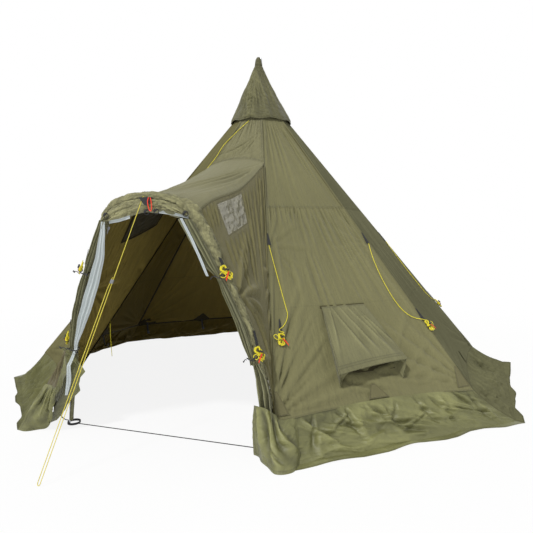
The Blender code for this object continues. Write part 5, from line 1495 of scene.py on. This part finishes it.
def build_vent(mats):
    columns = 61
    share, drop = np.meshgrid(np.linspace(-1, 1, columns), np.linspace(1, 0, 60))
    points = hood_point(share, drop * lip_drop(share))
    u, v = share * 0.25, drop * 0.5
    marks = [(-0.15 + 0.085 * k, 0.0, 0.02 + 0.09 * k, 0.50, 0.005, 0.013, 0.014 - 0.001 * k) for k in range(4)]
    marks += [(-0.17, 0.0, -0.225, 0.48, 0.005, 0.012, 0.010), (0.10, 0.0, 0.19, 0.48, 0.005, 0.012, 0.009)]
    high = folds(u, v, marks) + 0.0025 * noise(u * 18, v * 10, 4)
    fade = stretch(1 - np.abs(share), 0.0, 0.08) * stretch(drop, 0.0, 0.05) * (1 - stretch(drop, 0.90, 0.94))
    points = push(points, np.clip(high, -0.007, 0.009) * fade)
    # The lip bows up a little between its corners, and its hem turns under round the rod
    bow = 0.010 * (1 - share ** 2) * stretch(drop, 0.55, 1.0)
    points[..., 2] += bow
    lip = points[0]
    under = []
    middle = hood_point(np.zeros(2), np.array((0.0, 1.0)))
    normal, fall = hood_normal(), unit(middle[1] - middle[0])
    for turn in np.linspace(0.35, math.pi, 8):
        under.append(lip + fall * (0.0062 * math.sin(turn)) - normal * (0.0062 * (1 - math.cos(turn))))
    under.append(lip - fall * 0.016 - normal * 0.0124)
    points = np.concatenate([np.array(under[::-1]), points])
    share = np.concatenate([share[:1].repeat(len(under), 0), share])
    drop = np.concatenate([np.full((len(under), columns), 1.0), drop])
    edge = np.minimum((1 - np.abs(share)) * 0.28, drop * 0.5)
    high = np.concatenate([np.repeat(high[:1] * 0, len(under), 0), high])
    seam = np.abs(drop - 0.93) * 0.5
    obj = cloth("vent_hood_cloth", points, mats["hood"], ("vent_hood",), body="vent_flap",
                seam=seam, edge=edge, thickness=0.0018, high=high / 0.008)
    for name, hand in (("left", -1), ("right", 1)):
        build_gusset(mats, name, hand)
    build_vent_lining(mats)


def build_vent_lining(mats):
    """Cloth behind the vent's opening, slack and in the hood's shade, its dark colour painted shade."""
    t, s = np.meshgrid(np.linspace(-1, 1, 60), np.linspace(0, 1, 60))
    z = 0.425 + (VENT_TOP + 0.012 - 0.425) * s
    points = wall_point(1, 0.32 * t, z) - wall_normal(1) * (0.006 + 0.03 * np.sin(np.pi * s))[..., None]
    points = push(points, 0.006 * creases(t * 2.2 + 2.5 * s, s * 17, 44) * np.sin(np.pi * s) ** 0.5)
    obj = cloth("vent_lining_cloth", points, mats["shade"], thickness=0.0014)


def build_gusset(mats, name, hand):
    """Soft side of the hood: from its edge and lip to the wall, its free edge curved."""
    drops = np.linspace(0.12, 1.0, 36)
    foot_u, foot_z = GUSSET_FOOT
    z = VENT_TOP + (foot_z - VENT_TOP) * drops
    u = HOOD_TOP_HALF + (foot_u - HOOD_TOP_HALF) * drops
    wall_row = wall_point(1, hand * u / half_width(z), z) + wall_normal(1) * (FABRIC / 2 + 0.0012)
    hood_row = hood_point(np.full_like(drops, hand * 0.985), drops * lip_drop(hand))
    hood_row = hood_row - hood_normal() * (FABRIC / 2 + 0.0015)
    # Past the lip's corner the cloth runs on along the lip and down to the same foot
    inward = 0.50 if hand == -1 else 0.20
    shares = np.linspace(0.985, 0.985 - inward, 16)[1:]
    lip_row = hood_point(hand * shares, 0.985 * lip_drop(hand * shares)) - hood_normal() * 0.008
    lip_row = lip_row + UP * (0.010 * (1 - shares ** 2))[:, None]
    foot = wall_row[-1]
    foot_row = foot[None] + (lip_row - hood_row[-1]) * 0.02
    upper = np.concatenate([hood_row, lip_row])
    lower = np.concatenate([wall_row, foot_row])
    t = np.linspace(0, 1, 22)[:, None, None]
    points = lower[None] * (1 - t) + upper[None] * t
    count = len(drops)
    past = np.clip((np.arange(upper.shape[0]) - count + 1) / len(shares), 0, 1)[None, :]
    bulge = np.sin(np.pi * t[:, :, 0])
    # The free edge is drawn in to a curve, and the side falls in soft folds
    hollow = -0.035 * bulge * past
    points = points + across(FACE_TURN) * (hand * (-hollow))[..., None] - UP * (hollow * 0.25)[..., None]
    k = np.arange(upper.shape[0])[None, :]
    ripple = 0.007 * bulge * np.sin(k * 0.55 + 2.5 * t[:, :, 0]) * np.clip(k / 20, 0, 1)
    points = points + heading(FACE_TURN) * ripple[..., None]
    if hand == 1:
        points = points[:, ::-1]
    obj = cloth("vent_gusset_cloth_" + name, points, mats["hood"], ("vent_gusset_" + name,), body=None,
                thickness=0.0012)
    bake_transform(obj)


# Cords


def hank_route(centre, long_way, wide_way, stack_way, tilt=0.0):
    """Loops that spiral in, climb a layer and spiral out again, drawn in at the waist and bound there."""
    long_way, wide_way = (long_way * math.cos(tilt) + wide_way * math.sin(tilt),
                          wide_way * math.cos(tilt) - long_way * math.sin(tilt))
    centre = centre + stack_way * HANK_LAYER
    route = []
    turns = int(HANK_LOOPS * HANK_POINTS)
    climb = HANK_POINTS // 2
    for i in range(2 * turns + climb + 1):
        turn = 2 * math.pi * i / HANK_POINTS
        inward = HANK_STEP * min(i, turns, 2 * turns + climb - i) / HANK_POINTS
        layer = HANK_LAYER * min(1.0, max(0.0, (i - turns) / climb))
        radius = HANK_WIDTH / 2 - inward
        long_side = (HANK_LENGTH - HANK_WIDTH) / 2
        if i % climb == climb // 2:
            along, wide = 0.0, math.copysign(radius - HANK_WAIST, math.sin(turn))
        else:
            along = radius * math.cos(turn) + math.copysign(long_side, math.cos(turn))
            wide = radius * math.sin(turn)
        route.append(centre + long_way * along + wide_way * wide + stack_way * layer)
    # Three turns round the waist, then a slipped bight that stands out to one side
    side = math.copysign(1.0, math.sin(2 * math.pi * (2 * turns + climb - 1) / HANK_POINTS)) or 1.0
    for i in range(2, 3 * 8 + 1):
        turn = 2 * math.pi * i / 8
        wide = 0.0185 * math.cos(turn) + 0.004 * math.copysign(1, math.cos(turn)) * (abs(math.cos(turn)) > 0.3)
        route.append(centre + long_way * (0.009 - 0.0062 * i / 8) + wide_way * (side * wide)
                     + stack_way * (HANK_LAYER / 2 + 0.0105 * math.sin(turn)))
    for along, wide in SLIPPED_BIGHT:
        route.append(centre + long_way * along + wide_way * (side * wide) + stack_way * (HANK_LAYER + 0.004))
    return route


def wall_hank(face, side, height, offset):
    top = beside_ridge(face, side, height + 0.04, offset)
    low = beside_ridge(face, side, height - 0.04, offset)
    middle = (top + low) / 2
    far = beside_ridge(face, side, height, offset + 0.04)
    if not offset:
        far = middle + across((face - side / 2) * FACE_TURN) * (0.04 * side)
    long_way = unit(top - low)
    wide_way = unit(far - middle) * side
    out = unit(np.cross(wide_way, long_way))
    wide_way = unit(np.cross(long_way, out))
    base = middle + out * (FABRIC / 2 + CORD_RADIUS + GAP)
    return hank_route(base, long_way, wide_way * -side, out), long_way, out, base


def tie_webbing(mats, name, face, side, top, low):
    """Webbing sewn beside a ridge, narrow above and wide where the cord is tied."""
    height, offset = (np.linspace(a, b, 14) for a, b in zip(top, low))
    line = np.array([beside_ridge(face, side, h, o) for h, o in zip(height, offset)]) + wall_normal(face) * 0.0035
    half = np.linspace(0.004, 0.015, 14)[:, None]
    obj, points = strip(name + "_webbing", line, across(face * FACE_TURN)[None] * half, mats["webbing"])


def hank_trim(mats, name, base, long_way, wide_way, out):
    """Elastic keeper at the hank's waist, its black toggle, and a short red tail."""
    centre = base + out * (HANK_LAYER * 1.5)
    ring = [centre - long_way * 0.014 + wide_way * (0.024 * math.cos(t)) + out * (0.0145 * math.sin(t))
            for t in np.linspace(0, 2 * math.pi, 25)]
    tube_mesh(name + "_keeper", ring, 0.0024, mats["black"], sides=8)
    spot = centre + out * 0.018 + long_way * 0.010
    barrel = [spot + (wide_way * 0.8 + long_way * 0.6) * (0.012 * t) for t in np.linspace(-1, 1, 7)]
    tube_mesh(name + "_toggle", barrel, 0.0062, mats["black"], sides=12)
    line = np.array([spot - long_way * 0.016 + (wide_way * 0.75 - long_way * 0.55) * d - UP * d * d * 3
                     for d in np.linspace(0.0, 0.055, 14)])
    obj, points = strip(name + "_tail", line, long_way * 0.0055, mats["red"])


def build_wall_cords(mats):
    """The slack guylines of the right ridges with their hanks, and the stowed hanks of the left ones."""
    lines = {"right_front": (1, 1, 0.075), "right": (1, -1, 0.0), "right_rear": (2, -1, 0.0)}
    for name, (face, side, offset) in lines.items():
        hank, long_way, out, base = wall_hank(face, side, 0.665, offset)
        tie_webbing(mats, "tie_" + name, face, side, (1.375, 0.004), (1.287, 0.016))
        tie_webbing(mats, "hank_tie_" + name, face, side, (0.79, offset * 0.9), (0.70, offset))
        hank_trim(mats, "hank_" + name, base, long_way, unit(np.cross(long_way, out)), out)
        lift = wall_normal(face) * (FABRIC / 2 + CORD_RADIUS + CORD_LIFT)
        slack = KINKED_ROUTE if name == "right_front" else SLACK_ROUTE
        knots = [beside_ridge(face, side, height, off) + lift for height, off in slack]
        back = unit(hank[0] - hank[1])
        knots.append(hank[0] + back * 0.025 + long_way * 0.003)
        knots.append(hank[0] + back * 0.009)
        line = smooth_route(knots, 60)
        wound = smooth_route(hank, 260)
        route = np.concatenate([line[:-1], wound])
        obj = curve("guyline_rope_" + name, route, CORD_RADIUS, mats["yellow"],
                    nodes=("guyline_" + name, "hank_" + name))
        left = name.replace("right", "left")
        hank, long_way, out, base = wall_hank(-face, -side, 1.24, 0.075)
        wound = smooth_route(hank, 260)
        tie_webbing(mats, "hank_tie_" + left, -face, -side, (1.365, 0.070), (1.275, 0.075))
        hank_trim(mats, "hank_" + left, base, long_way, unit(np.cross(long_way, out)), out)
        obj = curve("guyline_hank_" + left, wound, CORD_RADIUS, mats["yellow"], nodes=("hank_" + left,))


def build_porch_hanks(mats):
    for side_name, side in (("right", 1), ("left", -1)):
        for level, (height, standoff) in {"upper": (1.14, 0.0006), "lower": (0.65, 0.0014)}.items():
            leg = arch_point(float(arch_leg_x(height)), height, side)
            below = arch_point(float(arch_leg_x(height - 0.05)), height - 0.05, side)
            down = unit(below - leg)
            out = np.array((side * 0.9, -0.43, 0.0))
            out = unit(out - down * out.dot(down))
            base = leg + out * (SLEEVE_RADIUS + FABRIC / 2 + CORD_RADIUS + standoff)
            if side == -1:
                base = base + np.array((-0.018, 0.0, 0.0))
            wound = smooth_route(hank_route(base, -down, np.cross(down, out), out, 0.35 * side), 260)
            key = side_name + "_" + level
            line = np.array([leg - down * d + out * (SLEEVE_RADIUS + 0.011) for d in np.linspace(0.035, 0.145, 16)])
            line[:, :2] += np.array((side, 0.0)) * 0.10 * (line[:, 2:] - line[:1, 2:])
            half = np.linspace(0.011, 0.007, 16)[:, None]
            piece, points = strip("sleeve_tie_" + key, line, np.cross(down, out)[None] * half, mats["webbing"])
            hank_trim(mats, "porch_hank_" + key, base, -down, np.cross(down, out), out)
            obj = curve("porch_rope_hank_" + key, wound, CORD_RADIUS, mats["yellow"], nodes=("porch_hank_" + key,))


def front_line():
    crown = arch_point(0.0, ARCH_ROUTE[0][1])
    start = crown + np.array((0.0, -1.0, 0.0)) * (SLEEVE_RADIUS + FABRIC / 2 - 2 * GAP)
    bend = start + np.array((0.0, -0.008, -0.002))
    foot = np.array((FRONT_PEG[0], FRONT_PEG[1], STRAND_SPACING))
    way = unit(foot - bend)
    return start, bend, foot, way, unit(np.cross(way, UP))


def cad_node(name):
    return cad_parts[name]


def build_front_line(mats):
    start, bend, foot, way, side = front_line()
    route = [start, bend] + [bend + (foot - bend) * share for share in np.linspace(0.05, 0.97, 16)]
    spread = 0.031
    radius = spread / 2
    for i in range(13):
        turn = math.pi * i / 12
        route.append(foot + way * (radius * math.sin(turn)) + side * (radius * (1 - math.cos(turn))))
    straight = 2 * CORD_RADIUS
    route.append(foot + side * spread - way * straight)
    main = curve("front_guyline_rope", route, CORD_RADIUS, mats["dull_yellow"], nodes=("front_guyline",))
    seat = bend + (foot - bend) * 0.32
    top = seat - way * (0.012 + 0.014)
    low = foot - way * (straight + GAP)
    line = [low + (top - low) * t + side * (spread + (STRAND_SPACING - spread) * float(stretch(t, 0.93, 1.0)))
            for t in np.linspace(0, 1, 60)]
    back = tube_mesh("front_guyline_return_rope", line, CORD_RADIUS, mats["dull_yellow"])
    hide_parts("front_guyline_return")
    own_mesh(back)


def build_small_cords(mats):
    lift = FABRIC / 2 + CORD_RADIUS + CORD_LIFT
    knots = []
    for u, z in ((-0.02, 2.392), (-0.10, 2.290), (-0.19, 2.150)):
        knots.append(wall_point(0, u / half_width(z), z) + wall_normal(0) * lift)
    out = unit(heading(-HALF_CORNER) + UP * SLOPE)
    knots.append(ridge(-HALF_CORNER, 2.02) + out * (lift + 0.001))
    for share, z in ((0.35, 1.80), (-0.25, 1.58), (-0.72, 1.40), (-0.93, 1.315)):
        knots.append(wall_point(-1, share, z) + wall_normal(-1) * lift)
    route = smooth_route(knots, 40)
    obj = curve("cap_cord_rope", route, CORD_RADIUS, mats["yellow"], nodes=("cap_cord",))
    top = ridge(-HALF_CORNER, 0.73) - out * (FABRIC / 2 + CORD_RADIUS)
    route = smooth_route([top, top - UP * 0.09, top + np.array((0.004, 0.0, -0.18)),
                          top + np.array((0.010, 0.0, -0.27))], 16)
    obj = curve("inner_cord_rope", route, CORD_RADIUS, mats["yellow"], nodes=("inner_cord",))


def build_head_trim(mats):
    """Reinforcement, red pull and toggles on the door head."""
    def at(x, z, out=0.060):
        return np.array((x, arch_y(z) - out, z))
    corners = (at(0.022, 1.556, 0.064), at(0.040, 1.553, 0.064), at(-0.018, 1.606), at(0.082, 1.605))
    patch("head_reinforcement", corners, mats["webbing"])
    loop = smooth_route([at(0.056, 1.604, 0.066), at(0.050, 1.575, 0.072), at(0.056, 1.535, 0.074),
                         at(0.066, 1.520, 0.074), at(0.074, 1.537, 0.072), at(0.074, 1.575, 0.070),
                         at(0.068, 1.602, 0.066)], 30)
    obj = curve("head_pull_cord", loop, 0.0030, mats["red"])
    spots = {"left": (-0.268, 1.505), "right": (0.296, 1.508), "middle": (0.030, 1.522), "front": (0.098, 1.524)}
    for name, (x, z) in spots.items():
        line = [at(x + 0.011 * t, z + 0.008 * t, 0.070) for t in np.linspace(-1, 1, 7)]
        tube_mesh("head_toggle_" + name, line, 0.0060, mats["black"], sides=12)
        ring = [at(x + 0.018 * math.cos(t), z - 0.006 + 0.016 * math.sin(t), 0.062)
                for t in np.linspace(0, 2 * math.pi, 21)]
        tube_mesh("head_loop_" + name, ring, 0.0022, mats["black"], sides=8)


def build_leg_ties(mats):
    """Cords with toggles that hold the gathered door halves and the left leg's cloth."""
    for name, side, height, spread in (("left_low", -1, 0.612, 0.052), ("right_up", 1, 1.125, 0.036),
                                       ("right_low", 1, 0.625, 0.036), ("left_up", -1, 1.125, 0.036)):
        leg = arch_point(float(arch_leg_x(height)), height, side)
        centre = leg + np.array((-0.012 * side, -0.050, 0.0))
        if name == "left_low":
            centre = centre + np.array((0.034, -0.026, -0.010))
        ring = [centre + np.array(((spread - 0.006) * math.cos(t), 0.034 * math.sin(t), 0.006 * math.sin(2 * t)))
                for t in np.linspace(0, 2 * math.pi, 33)]
        tube_mesh("leg_tie_" + name, ring, 0.0032, mats["black"], sides=8)
        for hand in (-1, 1):
            start = centre + np.array((hand * 0.018, -0.040, 0.0))
            tail = hand * spread * (0.9 if side == -1 else 0.45)
            end = start + np.array((tail, -0.008, -0.010 + 0.022 * (hand == side)))
            line = smooth_route([start, (start + end) / 2 + UP * 0.008, end], 12)
            tube_mesh("leg_tie_%s_tail_%d" % (name, hand + 1), line, 0.0024, mats["black"], sides=8)
            line = [end + (end - start) * (0.30 * t) + UP * (0.006 * t) for t in np.linspace(-0.5, 0.6, 6)]
            tube_mesh("leg_tie_%s_toggle_%d" % (name, hand + 1), line, 0.0052, mats["black"], sides=10)


def build_foot_covers(mats):
    """Narrow cloth covers over the arch pole's bare ends, below the sleeve."""
    for name, side in (("left", -1), ("right", 1)):
        z = np.linspace(0.040, 0.285, 40)
        route = np.array([arch_point(float(arch_leg_x(h)), h, side) for h in z])
        turn = np.linspace(0, 2 * math.pi, 25)
        radius = 0.0130 + 0.0015 * creases(turn[None] * 1.0 + z[:, None] * 9, z[:, None] * 26, 88 + side)
        ring = np.stack([np.cos(turn)[None] * radius, np.sin(turn)[None] * radius, 0 * radius], axis=-1)
        obj = cloth("arch_foot_cover_" + name, route[:, None] + ring, mats["curtain"],
                    closed=True, thickness=0.0014)


def build_left_flare(mats):
    """Lower corner of the left porch side, drawn out from the tie over the skirt, and the skirt's end under it."""
    tie = np.array((-0.648, -2.035, 0.602))
    t, s = np.meshgrid(np.linspace(0, 1, 50), np.linspace(0, 1, 60), indexing="ij")
    left = smooth_route([tie + (-0.012, 0, 0), (-0.735, -2.030, 0.475), (-0.850, -2.000, 0.341)], 50)[:, None]
    right = smooth_route([tie + (0.010, -0.012, 0), (-0.660, -2.065, 0.49), (-0.712, -2.070, 0.352)], 50)[:, None]
    points = left * (1 - s[..., None]) + right * s[..., None]
    marks = [(0.5, -0.05, 0.10 + 0.20 * k, 1.0, 0.03, 0.07, 0.012 - 0.022 * (k % 2)) for k in range(5)]
    high = folds(s, t, marks) + 0.003 * creases(s * 4, t * 5, 31)
    flare = push(points[::-1], (high * stretch(t, 0, 0.3))[::-1])
    obj = cloth("leg_flare_cloth_left", flare, mats["flare"], thickness=0.0016,
                edge=np.minimum(s, 1 - s)[::-1] * 0.15, high=high[::-1] / 0.010)
    top = smooth_route([(-0.862, -1.996, 0.344), (-0.785, -2.035, 0.352), (-0.710, -2.066, 0.358)], 60)
    low = smooth_route([(-1.085, -2.035, 0.003), (-1.010, -2.040, 0.003), (-0.950, -1.985, 0.004),
                        (-0.885, -1.965, 0.020), (-0.800, -2.010, 0.110)], 60)
    points = low[None] * (1 - t[..., None]) + top[None] * t[..., None]
    marks = [(0.95 - 0.20 * k, 0.98, 0.75 - 0.24 * k, 0.05, 0.03, 0.08, 0.022 - 0.040 * (k % 2)) for k in range(4)]
    high = folds(s, t, marks) + 0.010 * creases(s * 3 + 2 * t, t * 4 + s, 37)
    wrap = push(points, high * np.sin(np.pi * t) ** 0.7)
    wrap[..., 2] = np.maximum(wrap[..., 2], 0.002)
    obj = cloth("skirt_wrap_cloth_left", wrap, mats["skirt"], thickness=0.0014,
                edge=np.minimum(t, np.minimum(s, 1 - s)) * 0.3, high=high / 0.02)


def on_wall(face, u, z, out=0.0028):
    return wall_point(face, u / half_width(z), z) + wall_normal(face) * out


def build_wall_patches(mats):
    """Sewn corner and hem patches on the outside of the two walls that the photograph shows best."""
    for face in (1, 2):
        finish = mats["fan"] if face == 1 else mats["wall_right_painted_shade"]
        for label, side in (("a", -1), ("b", 1)):
            low, high = half_width(0.25), half_width(0.39)
            spots = ((low - 0.004, 0.262), (low - 0.115, 0.262), (high - 0.006, 0.39), (high - 0.022, 0.39))
            corners = [on_wall(face, side * u, z) for u, z in spots]
            if side == 1:
                corners = (corners[1], corners[0], corners[3], corners[2])
            patch("corner_patch_%d%s" % (face, label), corners, finish, columns=24,
                  thickness=0.001)
        spots = ((-0.075, 0.268), (0.095, 0.268), (-0.012, 0.350), (0.012, 0.350))
        patch("hem_patch_%d" % face, [on_wall(face, u, z) for u, z in spots], finish,
              thickness=0.001)


def build_inner_tapes(mats):
    """Ridge tapes and hem tapes inside, and the peg patches with their hooks."""
    for k in range(8):
        turn = HALF_CORNER + k * FACE_TURN
        top = 1.93 if k in (0, 7) else 2.37
        inward = unit(heading(turn) + UP * SLOPE) * 0.0075
        line = np.array([ridge(turn, z) - inward for z in np.linspace(0.245, top, 60)])
        tape("inner_ridge_tape_%d" % k, line, across(turn) * 0.013, mats["seam_tape"])
    for face in (3, 4, 5, 6):
        share = np.linspace(-0.99, 0.99, 50)
        line = wall_point(face, share, hem_height(share) + 0.012) - wall_normal(face) * 0.009
        up = unit(ridge(face * FACE_TURN, 0.4) - ridge(face * FACE_TURN, 0.3))
        tape("inner_hem_tape_%d" % face, line, up * 0.011, mats["seam_tape"])
        for label, u in (("middle", 0.0), ("corner", half_width(0.26) - 0.10)):
            z = 0.262
            width = 0.115
            corners = [on_wall(face, u + w, z + h, -0.013) for w, h in ((0.0, -0.02), (width, 0.012), (-width, 0.012),
                                                                   (0.0, 0.098))]
            patch("peg_patch_%d_%s" % (face, label), corners, mats["seam_tape"], thickness=0.001)
            start = on_wall(face, u, z + 0.02, -0.016)
            inward = -heading(face * FACE_TURN)
            line = smooth_route([start, start + inward * 0.014 - UP * 0.05, start + inward * 0.030 - UP * 0.115,
                                 start + inward * 0.058 - UP * 0.125, start + inward * 0.066 - UP * 0.095], 24)
            tape("peg_hook_%d_%s" % (face, label), line, across(face * FACE_TURN) * 0.011, mats["webbing"])


def build_ground_strap(mats):
    """The cord across the doorway, its webbing loops, and the left foot's webbing."""
    foot = arch_point(*ARCH_ROUTE[-1], 1)
    y = foot[1] + 0.033
    for name, side in (("left", -1), ("right", 1)):
        centre = np.array((side * foot[0], y, 0.0))
        line = np.array([centre + np.array((0.044 * math.cos(t), 0.046 * math.sin(t), 0.0115 + 0.002 * math.sin(t)))
                         for t in np.linspace(0, 2 * math.pi, 41)])
        out = unit(np.array((0.25, -0.2, 1.0)))
        tape("foot_loop_webbing_" + name, line, out * 0.0085, mats["webbing"],
                          thickness=0.004)
    end = foot[0] - 0.044
    line = [np.array((x, y, 0.0045)) for x in np.linspace(-end, end, 30)]
    obj = curve("ground_strap_cord", line, 0.003, mats["webbing"], nodes=("ground_strap",))
    line = smooth_route([(-0.935, -1.815, 0.150), (-0.930, -1.800, 0.080), (-0.905, -1.775, 0.022),
                         (-0.850, -1.775, 0.012)], 24)
    tape("foot_strap_webbing_left", line, (0.0075, -0.006, 0.004), mats["webbing"],
         thickness=0.003)


def finish_carried(mats):
    """Better finishes on the solids that stay as they are."""
    for node, key in {"pole_foot": "rubber", "pole_lower_tube": "metal", "pole_upper_tube": "metal",
                      "pole_lock_ring": "black", "crown_ring": "black", "arch_pole": "metal", "vent_rod": "metal",
                      "zip_slider_right": "grey", "zip_slider_left": "grey", "line_slider": "grey"}.items():
        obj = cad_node(node)
        for slot in obj.material_slots:
            slot.material = mats[key]


def build_scene():
    mats = make_materials()
    make_stage()
    build_wall_cords(mats)
    build_porch_hanks(mats)
    build_front_line(mats)
    build_small_cords(mats)
    build_ground_strap(mats)
    build_walls(mats)
    build_front_gore(mats)
    build_cap(mats)
    build_skirts(mats)
    build_roof(mats)
    build_sides(mats)
    build_sleeve(mats)
    build_door_roll(mats)
    build_door_head(mats)
    build_skirt_wrap(mats)
    for name, side in (("right", 1), ("left", -1)):
        build_curtain(mats, name, side)
        build_zip(mats, name, side)
    build_vent(mats)
    build_head_trim(mats)
    build_leg_ties(mats)
    build_foot_covers(mats)
    build_left_flare(mats)
    build_wall_patches(mats)
    build_inner_tapes(mats)
    finish_carried(mats)


build_scene()
